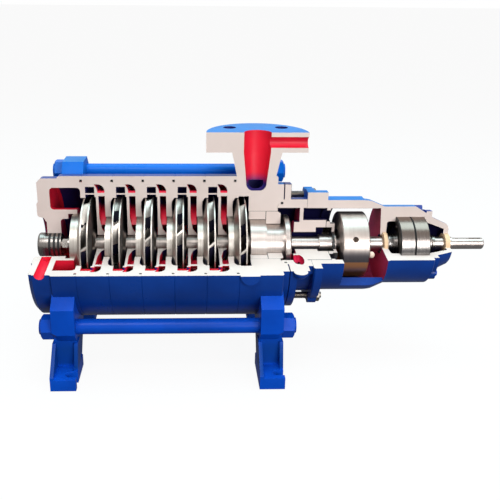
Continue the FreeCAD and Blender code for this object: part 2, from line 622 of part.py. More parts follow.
# Seal housing, which also carries the bearing bracket
def makeSealHousing():
    body = newBody("seal_housing")
    turned(body, "Casting", [
        (s.counterbore + 0.5, s.housingBore), (s.counterbore + 0.5, s.spigotBore - s.fitGap),
        (s.bossRight, s.spigotBore - s.fitGap), (s.bossRight, s.housingBarrel),
        (s.housingFlangeLeft, s.housingBarrel), (s.housingFlangeLeft, s.bossRadius),
        (s.housingFlangeRight, s.bossRadius), (s.housingFlangeRight, s.housingBarrel),
        (s.housingRight, s.housingBarrel), (s.housingRight, s.housingBore), (s.webRight, s.housingBore),
        (s.webRight, s.sealHubRadius), (s.sealHubRight, s.sealHubRadius), (s.sealHubRight, s.sealBoxRadius),
        (s.sealBoxLeft, s.sealBoxRadius), (s.sealBoxLeft, s.sealHubBore), (s.sealHubLeft, s.sealHubBore),
        (s.sealHubLeft, s.sealHubStep), (s.webLeft, s.sealHubStep), (s.webLeft, s.housingBore)])
    # level ribs on both sides tie the hub to the barrel, and the near one lies in the lower cut face
    sweep = 2 * s.ribSweep
    for name, tilt in (("Near", 180 - s.ribSweep + s.cutAngle), ("Far", -s.ribSweep)):
        turned(body, name + "Rib", ring(s.housingFlangeRight + 1.5, s.webLeft + 1, s.sealHubStep - 1,
                                        s.housingBore + 1), tilt=tilt, sweep=sweep)
        turned(body, name + "Fin", ring(s.webRight - 1, s.sealHubRight, s.sealHubRadius - 1,
                                        s.housingBore - s.ribSlit), tilt=tilt, sweep=sweep)
        turned(body, name + "Shelf", ring(s.housingFlangeRight - 1, s.housingRight, s.housingBarrel - 2,
                                          s.shelfRadius), tilt=tilt, sweep=sweep)
    # return passage: a domed boss on the near side over an egg-shaped pocket in the rib
    plainShape(body, "AdditiveCylinder", "PassageBoss", along(s.bossMiddle, 70), fall,
               Radius=s.bossRound, Height=s.bossReach - 70)
    plainShape(body, "AdditiveSphere", "PassageDome", along(s.domeMiddle, s.bossReach + 3), (0, 0, 1),
               Radius=s.bossRound - 0.5)
    plainShape(body, "SubtractiveEllipsoid", "Pocket", along(s.pocketMiddle, s.pocketReach), fall,
               Radius1=s.pocketLong, Radius2=s.pocketHalf, Radius3=s.pocketDeep)
    plainShape(body, "SubtractiveEllipsoid", "PocketMouth", along(s.pocketMiddle - 5, s.pocketReach - 1), fall,
               Radius1=s.pocketLong - 1, Radius2=s.pocketHalf, Radius3=s.pocketDeep - 2)
    for number, angle in enumerate((60, 120, 240, 300)):
        spot = math.radians(angle)
        plainShape(body, "SubtractiveCylinder", f"StudHole{number}",
                   (s.housingFlangeLeft - 3, s.studCircle * math.cos(spot), s.studCircle * math.sin(spot)),
                   (1, 0, 0), Radius=s.studRadius + 0.3, Height=20)
    cutSector(body)
    made.append(body)


def makeSealParts():
    inner = s.coverRight - 5.4
    makeTurnedRing("seal_cover", [
        (s.sealHubRight, s.sealBoxRadius), (s.sealHubRight, s.coverRadius),
        (s.sealHubRight + 7, s.coverRadius), (s.sealHubRight + 7, s.coverRadius - 4),
        (s.coverRight, s.coverRadius - 4), (s.coverRight, s.sealRing + s.fitGap),
        (inner, s.sealRing + s.fitGap), (inner, s.sealBoxRadius)])
    makeTurnedRing("seal_seat", ring(inner, inner + 3.2, s.sealSleeveRadius + 0.7, s.sealRing), cut=False)


# Lantern bracket with the bearing housing
def makeBearingBracket():
    body = newBody("bearing_bracket")
    lip = s.bracketLeft + s.lugThick
    turned(body, "Casting", [
        (s.bracketLeft, s.housingBore), (s.bracketLeft, s.bracketCollar - 2),
        (s.bracketLeft + 2, s.bracketCollar), (lip, s.bracketCollar),
        (lip, s.lanternRadius), (s.taperStart, s.lanternRadius),
        (s.taperStart + 12, s.lanternRadius - 1.5, 60, -1),
        (s.housingStart, s.bearingHousing), (s.endFace - 1.5, s.bearingHousing),
        (s.endFace, s.bearingHousing - 1.5), (s.endFace, s.bearingRadius), (s.bearingLeft, s.bearingRadius),
        (s.bearingLeft, s.cavityRadius), (s.backWall + 4, s.cavityRadius),
        (s.backWall, s.cavityRadius - 4, 4, 1), (s.backWall, s.feltRadius), (s.feltLeft, s.feltRadius),
        (s.feltLeft, s.shaftHole), (s.windowRight + s.wallDraft, s.shaftHole),
        (s.windowRight, s.lanternBore), (s.collarLip + 6, s.lanternBore),
        (s.collarLip + 6, s.housingBore - 4), (s.collarLip, s.housingBore - 4),
        (s.collarLip, s.housingBore)])
    # flat top: the flange is milled level, with a block behind it and a deck along the lantern
    plainShape(body, "SubtractiveBox", "FlangeFlat", (s.bracketLeft - 1, -40, s.bracketTop), (0, 0, 1),
               Length=s.lugThick + 2, Width=80, Height=10)
    plainShape(body, "AdditiveBox", "TopBlock", (lip - 1, -s.blockHalf, s.lanternRadius - 9), (0, 0, 1),
               Length=s.collarLip - lip + 1, Width=2 * s.blockHalf, Height=s.bracketTop - s.lanternRadius + 9)
    plainShape(body, "AdditiveBox", "Deck", (s.collarLip - 1, -s.deckHalf, s.lanternRadius - 9), (0, 0, 1),
               Length=s.taperStart - s.collarLip + 1, Width=2 * s.deckHalf, Height=9.2)
    for number, angle in enumerate((60, 120, 240, 300)):
        spot = math.radians(angle)
        place = (s.studCircle * math.cos(spot), s.studCircle * math.sin(spot))
        plainShape(body, "AdditiveCylinder", f"Lug{number}", (s.bracketLeft,) + place, (1, 0, 0),
                   Radius=s.lugRadius, Height=s.lugThick)
        plainShape(body, "SubtractiveCylinder", f"LugHole{number}", (s.bracketLeft - 1,) + place, (1, 0, 0),
                   Radius=s.studRadius + 0.3, Height=s.lugThick + 14)
        plainShape(body, "SubtractiveCylinder", f"NutSeat{number}", (lip,) + place, (1, 0, 0),
                   Radius=s.studNutAcross / 2 + 2.5, Height=s.studNutThick + 4)
    for number in range(4):
        spot = math.radians(45 + 90 * number)
        place = (s.screwCircle * math.cos(spot), s.screwCircle * math.sin(spot))
        plainShape(body, "AdditiveCylinder", f"ScrewLug{number}", (s.endFace - 26,) + place, (1, 0, 0),
                   Radius=s.screwLug, Height=26)
    plainShape(body, "SubtractiveCylinder", "Seat", (s.bearingLeft, 0, 0), (1, 0, 0),
               Radius=s.bearingRadius, Height=80)
    turned(body, "EndBevel", [
        (s.endBevel - 2, s.bearingHousing + 1.2), (s.endFace + 1, s.endTop - 0.6), (s.endFace + 1, 78),
        (s.endBevel - 2, 78)], kind="Groove", tilt=90 - s.bevelSweep, sweep=2 * s.bevelSweep)
    window = ring(s.windowLeft, s.windowRight, s.lanternBore - 8, s.lanternRadius + 8)
    turned(body, "FarWindow", window, kind="Groove", tilt=-s.windowDown, sweep=s.windowUp + s.windowDown)
    turned(body, "NearWindow", window, kind="Groove", tilt=180 - s.windowUp,
           sweep=s.windowUp + s.windowNear)
    cutSector(body)
    made.append(body)


def makeStuds():
    studs, nuts = newBody("bracket_studs"), newBody("bracket_nuts")
    seat = s.bracketLeft + s.lugThick
    for number, angle in enumerate((60, 240, 300)):
        spot = math.radians(angle)
        place = (s.studCircle * math.cos(spot), s.studCircle * math.sin(spot))
        plainShape(studs, "AdditiveCylinder", f"Stud{number}", (s.bossRight + 0.1,) + place, (1, 0, 0),
                   Radius=s.studRadius, Height=seat + s.studNutThick + 3 - s.bossRight)
        pushed(nuts, f"Nut{number}", seat, seat + s.studNutThick, hexagon(*place, s.studNutAcross))
        plainShape(nuts, "SubtractiveCylinder", f"Thread{number}", (seat - 1,) + place, (1, 0, 0),
                   Radius=s.studRadius, Height=s.studNutThick + 2)
    made.extend([studs, nuts])


# Bearing end cover and its screws
def makeEndCover():
    body = newBody("end_cover")
    spigot = s.bearingLeft + 2 * s.bearingWidth + 0.3
    turned(body, "Casting", [
        (spigot, s.cavityRadius), (spigot, s.bearingRadius - s.fitGap), (s.endFace, s.bearingRadius - s.fitGap),
        (s.endFace, s.coverFlangeRadius), (s.coverFlange, s.coverFlangeRadius),
        (s.coverFlange, s.bearingRadius - 0.5),
        (s.coverNose - 5, s.coverNoseRadius + 9), (s.coverNose, s.coverNoseRadius, 14, -1),
        (s.coverNose, s.lipOuter), (s.coverNose - s.coverWall, s.lipOuter),
        (s.coverNose - s.coverWall, s.coverNoseRadius), (s.endFace + 2, s.cavityRadius - 2)])
    for number in range(4):
        spot = math.radians(45 + 90 * number)
        place = (s.screwCircle * math.cos(spot), s.screwCircle * math.sin(spot))
        plainShape(body, "AdditiveCylinder", f"Lug{number}", (s.endFace,) + place, (1, 0, 0),
                   Radius=s.screwLug, Height=s.coverFlange - s.endFace)
    cutSector(body)
    screws = newBody("cover_screws")
    for number in (0, 2, 3):
        spot = math.radians(45 + 90 * number)
        place = (s.screwCircle * math.cos(spot), s.screwCircle * math.sin(spot))
        pushed(screws, f"Head{number}", s.coverFlange, s.coverFlange + 5, hexagon(*place, s.screwHead * 2))
    made.extend([body, screws])


# Impeller with two shrouds. Its zero is the casing joint to the left of it.
def makeImpeller(number, turn):
    body = newBody(f"impeller_{number}", joint[number - 1], turn)
    first = number == 1
    eye, eyeLeft, eyeRight = ((s.firstEyeRadius, -s.firstEyeLeft, -s.firstEyeRight) if first
                              else (s.eyeRadius, -s.eyeLeft, -s.eyeRight))
    throat = eye - s.eyeWall
    front, back, rim = s.rimFront, s.rimBack, s.impellerRadius
    vaneRoot, vaneFace = back - s.shroudThick / 2, eyeLeft + 7
    profiles = []
    for name, away, lean in (("Root", vaneRoot, -s.vaneLean), ("Face", vaneFace, s.vaneLean)):
        sketch = newSketch(body, "Vane" + name, "YZ_Plane", away=away)
        tip, start = rim - 0.4, s.vaneStart
        drawLoop(sketch, [
            polar(tip, lean), polar(start, lean + s.vaneWrap) + (s.vaneBend, 1),
            polar(start - 3, lean + s.vaneWrap - 2), polar(tip, lean - s.vaneTip) + (s.vaneBend, -1)])
        sketch.Visibility = False
        profiles.append(sketch)
    vane = body.newObject("PartDesign::AdditiveLoft", "Vane")
    vane.Profile = profiles[0]
    vane.Sections = [profiles[1]]
    vane.Ruled = True
    aroundShaft(body, "Vanes", vane, s.impellerVanes)
    # the space in front of the front shroud, taken off the vanes
    turned(body, "FrontTrim", [
        (eyeLeft - 12, throat - 1), (eyeRight - 5, throat - 1), (eyeRight + 1, eye - 1), (front + 0.8, rim),
        (front + 0.8, rim + 6), (eyeLeft - 12, rim + 6)], kind="Groove")
    turned(body, "Shrouds",
           [(eyeLeft, throat), (eyeLeft, eye), (eyeRight, eye), (front, rim), (front + s.shroudThick, rim),
            (eyeRight + 4.5, eye + 11 - s.eyeWall),
            (eyeRight - 6.5, throat, 11, -1)],
           [(-s.hubFront, s.shaftRadius), (-s.hubFront, s.hubRadius - 2), (-s.hubFront + 6, s.hubRadius),
            (back - s.shroudThick, s.hubRadius + 15, 18, 1), (back - s.shroudThick, rim), (back, rim),
            (back, s.hubRadius + 8), (s.hubBack, s.hubRadius + 1), (s.hubBack, s.shaftRadius)])
    made.append(body)


# Shaft and the turned pieces on it
def makeRotor():
    left = suctionLeft
    shaft = newBody("shaft")
    bearingRight = s.bearingLeft + 2 * s.bearingWidth
    turned(shaft, "Bar", [
        (left + 3.6, 0), (left + 3.6, s.journalRadius - 1), (left + 4.6, s.journalRadius),
        (joint[0] - s.hubFront, s.journalRadius), (joint[0] - s.hubFront, s.shaftRadius),
        (s.bearingLeft - 12, s.shaftRadius), (s.bearingLeft - 12, s.bearingBore),
        (bearingRight + 12, s.bearingBore), (bearingRight + 12, s.shaftRadius - 1),
        (s.coverNose + 6, s.shaftRadius - 1),
        (s.coverNose + 6, s.stubRadius), (s.shaftEnd - 2, s.stubRadius),
        (s.shaftEnd, s.stubRadius - 2), (s.shaftEnd, 0)])
    keyway = plainShape(shaft, "SubtractiveBox", "Keyway",
                        (s.shaftEnd - 25, -3, s.stubRadius - 3.5), (0, 0, 1), Length=20, Width=6, Height=8)
    shaft.Tip = keyway
    made.append(shaft)
    makeTurnedRing("distance_sleeves", *[
        ring(joint[index] + s.hubBack, joint[index + 1] - s.hubFront, s.shaftRadius, s.sleeveRadius)
        for index in range(stageCount - 1)], cut=False)
    makeTurnedRing("balance_drum", [
        (joint[-1] + s.hubBack, s.shaftRadius), (joint[-1] + s.hubBack, s.hubRadius),
        (s.drumLeft + 1.8, s.hubRadius), (s.drumLeft + 1.8, s.drumRadius - 1), (s.drumLeft + 2.8, s.drumRadius),
        (s.bushStep - 0.6, s.drumRadius), (s.bushStep - 0.6, s.drumSmall), (s.discLeft, s.drumSmall),
        (s.discLeft, s.discRadius), (s.discRight - 2, s.discRadius), (s.discRight, s.discRadius - 2),
        (s.discRight, s.shaftRadius)], cut=False)
    rotorRing = s.coverRight - 1.9
    makeTurnedRing("shaft_sleeve", ring(s.sealSleeveLeft, rotorRing, s.shaftRadius, s.sealSleeveRadius),
                   cut=False)
    makeTurnedRing("seal_rotor", ring(rotorRing, s.coverRight, s.shaftRadius, s.sealRing - 0.4), cut=False)
    collar = newBody("collar_ring")
    turned(collar, "Ring", [
        (s.collarLeft + 3.2, s.shaftRadius), (s.collarLeft + 3.2, 24), (s.collarLeft, 26),
        (s.collarLeft, s.collarRadius - 1.5), (s.collarLeft + 1.5, s.collarRadius),
        (s.collarRight - 1.5, s.collarRadius), (s.collarRight, s.collarRadius - 1.5),
        (s.collarRight, s.shaftRadius)])
    lift = math.radians(27)
    plainShape(collar, "SubtractiveCylinder", "PinHole",
               ((s.collarLeft + s.collarRight) / 2 - 2, -30 * math.cos(lift), 30 * math.sin(lift)),
               (0, -math.cos(lift), math.sin(lift)), Radius=s.collarHole, Height=40)
    made.append(collar)
    knob = newBody("collar_knob")
    plainShape(knob, "AdditiveCylinder", "Stem", along(s.collarRight, s.knobReach), (1, 0, 0),
               Radius=s.knobRadius - 1.4, Height=4)
    plainShape(knob, "AdditiveSphere", "Head", along(s.collarRight + s.knobRadius - 0.6, s.knobReach), (0, 0, 1),
               Radius=s.knobRadius)
    turned(knob, "Face", ring(s.collarRight - 6, s.collarRight, 0, s.collarRadius), kind="Groove")
    made.append(knob)


def makeNuts():
    nut = newBody("impeller_nut")
    start = suctionLeft + 38.5
    pushed(nut, "Hexagon", start, start + 9, hexagon(asLength(0), asLength(0), 26))
    turned(nut, "Collar", ring(start + 9, joint[0] - s.hubFront, s.journalRadius, s.journalRadius + 5.5))
    plainShape(nut, "SubtractiveCylinder", "Thread", (start - 2, 0, 0), (1, 0, 0),
               Radius=s.journalRadius, Height=60)
    made.append(nut)
    right = s.bearingLeft + 2 * s.bearingWidth
    makeTurnedRing("bearing_lock_nut",
                   ring(right, right + 2, s.bearingBore, 21), ring(right + 2, right + 11, s.bearingBore, 19.5),
                   ring(right + 15.5, right + 20, s.shaftRadius - 1, 15), cut=False)
    makeTurnedRing("bearing_spacer", ring(s.bearingLeft - 11, s.bearingLeft, s.bearingBore, 17.5), cut=False)


# Two ball bearings side by side
def makeBearings():
    outer, inner, balls = newBody("bearing_outer_rings"), newBody("bearing_inner_rings"), newBody("bearing_balls")
    bore, rim, circle = s.bearingBore, s.bearingRadius - s.fitGap, s.ballCircle
    track = s.ballRadius + s.runningGap
    outerLoops, innerLoops = [], []
    for number in range(2):
        left = s.bearingLeft + number * s.bearingWidth + 0.1
        right = left + s.bearingWidth - 0.2
        middle = (left + right) / 2
        outerFace, innerFace = circle + 5, circle - 5
        half = Length(math.sqrt(track.number ** 2 - 25), f"sqrt({track.formula} ^ 2 - 25)")
        outerLoops.append([
            (left, outerFace), (left, rim - 1.5), (left + 1.5, rim), (right - 1.5, rim), (right, rim - 1.5),
            (right, outerFace), (middle + half, outerFace), (middle - half, outerFace, track, 1)])
        innerLoops.append([
            (left, bore), (left, innerFace), (middle - half, innerFace),
            (middle + half, innerFace, track, 1), (right, innerFace), (right, bore)])
        turned(balls, f"Cage{number}", ring(middle - 3, middle + 3, circle - 1.5, circle + 1.5))
        ball = plainShape(balls, "AdditiveSphere", f"Ball{number}", (middle, 0, circle), (0, 0, 1),
                          Radius=s.ballRadius)
        aroundShaft(balls, f"Row{number}", ball, s.ballCount)
    turned(outer, "Rings", *outerLoops)
    turned(inner, "Rings", *innerLoops)
    made.extend([outer, inner, balls])


def makeLipRings():
    makeTurnedRing("lip_rings",
                   ring(s.feltLeft + 0.1, s.backWall, s.shaftRadius + 0.3, s.feltRadius - s.fitGap),
                   ring(s.coverNose - 8, s.coverNose, s.shaftRadius - 0.7, s.lipOuter - s.fitGap), cut=False)


makeSuctionCasing()
for number in range(1, stageCount):
    makeStageCasing(number)
    makeDiffuser(number)
makeDischargeCasing()
makeLastDiffuser()
makeCasingRings()
makeTieRods()
makeBearingBush()
makeSealHousing()
makeSealParts()
makeBearingBracket()
makeStuds()
makeEndCover()
for number, turn in enumerate((80, 52, 68, 61, 75, 83), start=1):
    makeImpeller(number, turn)
makeRotor()
makeNuts()
makeBearings()
makeLipRings()

doc.recompute()

# Every piece has to be sound before any is written
faults = [item.Label for item in doc.Objects if {"Invalid", "Error"} & set(item.State)]
faults += [body.Label for body in made if body.Shape.isNull() or not body.Shape.isValid()]
if faults:
    raise RuntimeError(f"not sound: {sorted(set(faults))}")
for body in made:
    body.Shape.exportStep(f"parts/{body.Label}.step")
    print(body.Label, len(body.Shape.Solids), round(body.Shape.Volume / 1000, 1))
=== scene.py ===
import json
import math

import bmesh
import bpy
from mathutils import Matrix, Vector


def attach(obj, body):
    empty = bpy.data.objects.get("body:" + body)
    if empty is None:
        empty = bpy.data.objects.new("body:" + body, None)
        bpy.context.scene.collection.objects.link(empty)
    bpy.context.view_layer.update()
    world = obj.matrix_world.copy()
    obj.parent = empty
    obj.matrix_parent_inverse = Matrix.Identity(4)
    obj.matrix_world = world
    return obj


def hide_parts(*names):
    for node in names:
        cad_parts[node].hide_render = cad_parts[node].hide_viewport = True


print("loading the packed pump")
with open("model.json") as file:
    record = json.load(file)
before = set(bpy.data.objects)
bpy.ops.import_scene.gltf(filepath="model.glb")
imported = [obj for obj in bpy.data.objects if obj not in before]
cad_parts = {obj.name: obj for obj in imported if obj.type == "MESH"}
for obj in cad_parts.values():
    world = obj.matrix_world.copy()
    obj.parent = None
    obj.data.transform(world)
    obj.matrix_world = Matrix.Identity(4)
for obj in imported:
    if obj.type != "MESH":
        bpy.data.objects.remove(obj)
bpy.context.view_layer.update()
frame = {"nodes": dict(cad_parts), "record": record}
slotOf = {entry["node"]: entry["material_slot"] for entry in frame["record"]["subparts"]}
bodyOf = {node: body for body, members in frame["record"]["behaviour"]["bodies"].items() for node in members}

# Sizes are in millimetres and angles in degrees; X runs along the shaft, and heights are above its axis.
# The lower cut face falls a little towards the viewer.
pump = {
    "shaftHeight": 190, "suctionEnd": -367.6, "firstJoint": -291.6, "pitch": 51.6, "stages": 6,
    "cutFall": 4, "cutSlack": 0.2,
}


# Colours are written as they look on a paint card and turned to linear here
def linearColour(code, alpha=1.0):
    channels = [int(code[i:i + 2], 16) / 255 for i in (1, 3, 5)]
    return tuple(c / 12.92 if c <= 0.04045 else ((c + 0.055) / 1.055) ** 2.4 for c in channels) + (alpha,)


# Links maps an input of the node to (node, output)
def joinTo(tree, node, links):
    for name, (source, output) in links.items():
        tree.links.new(source.outputs[output], node.inputs[name])


def addNode(tree, kind, settings=None, values=None, links=None):
    node = tree.nodes.new(kind)
    for name, value in (settings or {}).items():
        setattr(node, name, value)
    for name, value in (values or {}).items():
        node.inputs[name].default_value = value
    joinTo(tree, node, links or {})
    return node


def newMaterial(name):
    material = bpy.data.materials.new(name)
    material.use_nodes = True
    tree = material.node_tree
    tree.nodes.clear()
    output = addNode(tree, "ShaderNodeOutputMaterial")
    shader = addNode(tree, "ShaderNodeBsdfPrincipled")
    joinTo(tree, output, {"Surface": (shader, 0)})
    coords = addNode(tree, "ShaderNodeTexCoord")
    return material, tree, shader, coords


# Where a point lies in the pump, from the object coordinates: along the shaft, out from it and above it
def readPlace(tree, coords):
    parts = addNode(tree, "ShaderNodeSeparateXYZ", links={"Vector": (coords, "Object")})
    height = addNode(tree, "ShaderNodeMath", {"operation": "SUBTRACT"}, {1: pump["shaftHeight"] / 1000},
                     {0: (parts, "Z")})
    spot = addNode(tree, "ShaderNodeCombineXYZ", links={"Y": (parts, "Y"), "Z": (height, 0)})
    reach = addNode(tree, "ShaderNodeVectorMath", {"operation": "LENGTH"}, links={0: (spot, 0)})
    return {"along": (parts, "X"), "reach": (reach, "Value"), "height": (height, 0)}


# Each layer is a further colour, how strong it gets and its limits: a measure, where the colour starts to
# come in and where it is all there
def layColours(tree, place, mix, layers):
    for colour, amount, limits in layers:
        strength = None
        for measure, start, end in limits:
            step = addNode(tree, "ShaderNodeMapRange", {"interpolation_type": "SMOOTHSTEP"},
                           {"From Min": min(start, end) / 1000, "From Max": max(start, end) / 1000,
                            "To Min": float(start > end), "To Max": float(start < end)},
                           {"Value": place[measure]})
            product = addNode(tree, "ShaderNodeMath", {"operation": "MULTIPLY"}, {1: amount}, {0: (step, "Result")})
            if strength:
                joinTo(tree, product, {1: (strength, 0)})
            strength = product
        mix = addNode(tree, "ShaderNodeMix", {"data_type": "RGBA"}, {"B": linearColour(colour)},
                      {"Factor": (strength, 0), "A": (mix, "Result")})
    return mix


# Enamel brushed over cast iron: the colour drifts between the coats, the skin is a soft gloss with orange
# peel, and under it the sand-cast surface rolls
coating = {"driftWidth": 70, "driftRange": (0.3, 0.75), "peelWidth": 2.6, "rollWidth": 14, "sheenRange": (-0.05, 0.08)}


def enamel(name, base, deep, roughness, gloss, peelHeight=0.04, rollHeight=0.3, layers=()):
    material, tree, shader, coords = newMaterial(name)
    drift = addNode(tree, "ShaderNodeTexNoise", None,
                    {"Scale": 1000 / coating["driftWidth"], "Detail": 3.0, "Roughness": 0.55},
                    {"Vector": (coords, "Object")})
    tone = addNode(tree, "ShaderNodeMapRange", None,
                   {"From Min": coating["driftRange"][0], "From Max": coating["driftRange"][1]},
                   {"Value": (drift, "Fac")})
    mix = addNode(tree, "ShaderNodeMix", {"data_type": "RGBA"}, {"A": linearColour(base), "B": linearColour(deep)},
                  {"Factor": (tone, "Result")})
    if layers:
        mix = layColours(tree, readPlace(tree, coords), mix, layers)
    peel = addNode(tree, "ShaderNodeTexNoise", None, {"Scale": 1000 / coating["peelWidth"], "Detail": 2.0},
                   {"Vector": (coords, "Object")})
    bump = addNode(tree, "ShaderNodeBump", None, {"Strength": 1.0, "Distance": peelHeight / 1000},
                   {"Height": (peel, "Fac")})
    if rollHeight:
        roll = addNode(tree, "ShaderNodeTexNoise", None,
                       {"Scale": 1000 / coating["rollWidth"], "Detail": 4.0, "Roughness": 0.6},
                       {"Vector": (coords, "Object")})
        bump = addNode(tree, "ShaderNodeBump", None, {"Strength": 1.0, "Distance": rollHeight / 1000},
                       {"Height": (roll, "Fac"), "Normal": (bump, "Normal")})
    low, high = coating["sheenRange"]
    sheen = addNode(tree, "ShaderNodeMapRange", None, {"To Min": roughness + low, "To Max": roughness + high},
                    {"Value": (drift, "Fac")})
    shader.inputs["Specular IOR Level"].default_value = gloss
    joinTo(tree, shader, {"Base Color": (mix, "Result"), "Normal": (bump, "Normal"), "Roughness": (sheen, "Result")})
    return material


# Steel turned on a lathe: rings round the shaft, drawn several times as coarse as a real feed of 0.2 mm so that
# they show, and stains that drift
turning = {"cloudWidth": 30, "stainRange": (0.12, 0.42), "sheenRange": (-0.05, 0.07)}


def turnedSteel(name, base, deep, roughness, feed=0.6, depth=0.002, layers=()):
    material, tree, shader, coords = newMaterial(name)
    place = readPlace(tree, coords)
    rings = addNode(tree, "ShaderNodeCombineXYZ", links={"X": place["along"], "Y": place["reach"]})
    marks = addNode(tree, "ShaderNodeTexNoise", None, {"Scale": 1000 / feed, "Detail": 2.0}, {"Vector": (rings, 0)})
    cloud = addNode(tree, "ShaderNodeTexNoise", None, {"Scale": 1000 / turning["cloudWidth"], "Detail": 3.0},
                    {"Vector": (coords, "Object")})
    blend = addNode(tree, "ShaderNodeMath", {"operation": "MULTIPLY"},
                    links={0: (marks, "Fac"), 1: (cloud, "Fac")})
    tone = addNode(tree, "ShaderNodeMapRange", None,
                   {"From Min": turning["stainRange"][0], "From Max": turning["stainRange"][1]},
                   {"Value": (blend, 0)})
    mix = addNode(tree, "ShaderNodeMix", {"data_type": "RGBA"}, {"A": linearColour(deep), "B": linearColour(base)},
                  {"Factor": (tone, "Result")})
    mix = layColours(tree, place, mix, layers)
    low, high = turning["sheenRange"]
    sheen = addNode(tree, "ShaderNodeMapRange", None, {"To Min": roughness + low, "To Max": roughness + high},
                    {"Value": (marks, "Fac")})
    bump = addNode(tree, "ShaderNodeBump", None, {"Strength": 1.0, "Distance": depth / 1000},
                   {"Height": (marks, "Fac")})
    shader.inputs["Metallic"].default_value = 1.0
    joinTo(tree, shader, {"Base Color": (mix, "Result"), "Normal": (bump, "Normal"), "Roughness": (sheen, "Result")})
    return material


# A finish of one grain, whose width and depth are its own
def grainedFinish(name, base, deep, roughness, grain, depth, metallic=0.0):
    material, tree, shader, coords = newMaterial(name)
    noise = addNode(tree, "ShaderNodeTexNoise", None, {"Scale": 1000 / grain, "Detail": 4.0},
                    {"Vector": (coords, "Object")})
    mix = addNode(tree, "ShaderNodeMix", {"data_type": "RGBA"}, {"A": linearColour(base), "B": linearColour(deep)},
                  {"Factor": (noise, "Fac")})
    bump = addNode(tree, "ShaderNodeBump", None, {"Strength": 1.0, "Distance": depth / 1000},
                   {"Height": (noise, "Fac")})
    shader.inputs["Roughness"].default_value = roughness
    shader.inputs["Metallic"].default_value = metallic
    joinTo(tree, shader, {"Base Color": (mix, "Result"), "Normal": (bump, "Normal")})
    return material


print("mixing the paints and metals")
# Bright lathe-turned steel, clearest on the shaft and darker in the sleeves and bushes
shaftSteel = turnedSteel("turnedShaftSteel", "#c9bfb9", "#afa49e", 0.3)
sleeveSteel = turnedSteel("turnedSleeveSteel", "#968d87", "#7a736e", 0.33)
bushSteel = turnedSteel("turnedBushSteel", "#a39d98", "#7c7772", 0.26, feed=0.8)
# Cast stainless steel, turned on the shrouds, darker and duller on the back, with painted shade in the narrow passages
impellerSteel = turnedSteel("castStainlessSteel", "#cfc8c0", "#aca49b", 0.35, feed=1.4, depth=0.004)
vaneSteel = turnedSteel("vaneStainlessSteel", "#cfc8c0", "#b5ada5", 0.4, feed=1.4, depth=0.004)
backSteel = turnedSteel("darkerBackStainlessSteel", "#77716f", "#565250", 0.4, feed=1.4, depth=0.004)
impellerPassageShade = enamel("impellerPassagePaintedShade", "#14142c", "#101024", 0.5, 0.2, 0.03, rollHeight=0)
# A satin collar with painted shade darkening its lower half and a warm painted reflection under that
collarSteel = turnedSteel("satinCollarSteel", "#c2b8b0", "#ac9f98", 0.38, feed=0.9, layers=(
    ("#5d5961", 0.8, (("height", 12, -3),)), ("#f2a671", 0.95, (("height", -12, -15),))))
# Ground bearing steel, smooth, brownish on top and darker on its lower half as painted shade
bearingSteel = turnedSteel("groundBearingSteel", "#a09b98", "#7b7673", 0.24, feed=0.9, layers=(
    ("#7b6b62", 0.85, (("height", 14, 34),)), ("#4c494c", 0.75, (("height", 6, -12),))))
platedSteel = grainedFinish("platedStudSteel", "#a39b92", "#857e75", 0.36, 4, 0.005, metallic=1.0)  # dull zinc
blackRubber = grainedFinish("nitrileRubber", "#08080a", "#100f12", 0.6, 3, 0.02)  # moulded, without shine
blackOxide = grainedFinish("blackOxideScrew", "#131314", "#1d1c1d", 0.45, 2, 0.01)  # oiled black
sealCarbon = grainedFinish("sealCarbon", "#1e1e20", "#2b2b2e", 0.4, 1.5, 0.01)  # lapped grey-black
jointSeam = grainedFinish("jointSeam", "#1d1718", "#2b2324", 0.7, 2, 0.01)  # grime in a joint
peachFelt = grainedFinish("peachFelt", "#f3d3ae", "#e6bf95", 0.75, 2.2, 0.08)  # pressed wool, soft and matt
creamPlastic = grainedFinish("creamKnobPlastic", "#f1ddc9", "#e6cdb8", 0.4, 6, 0.01)  # moulded, satin
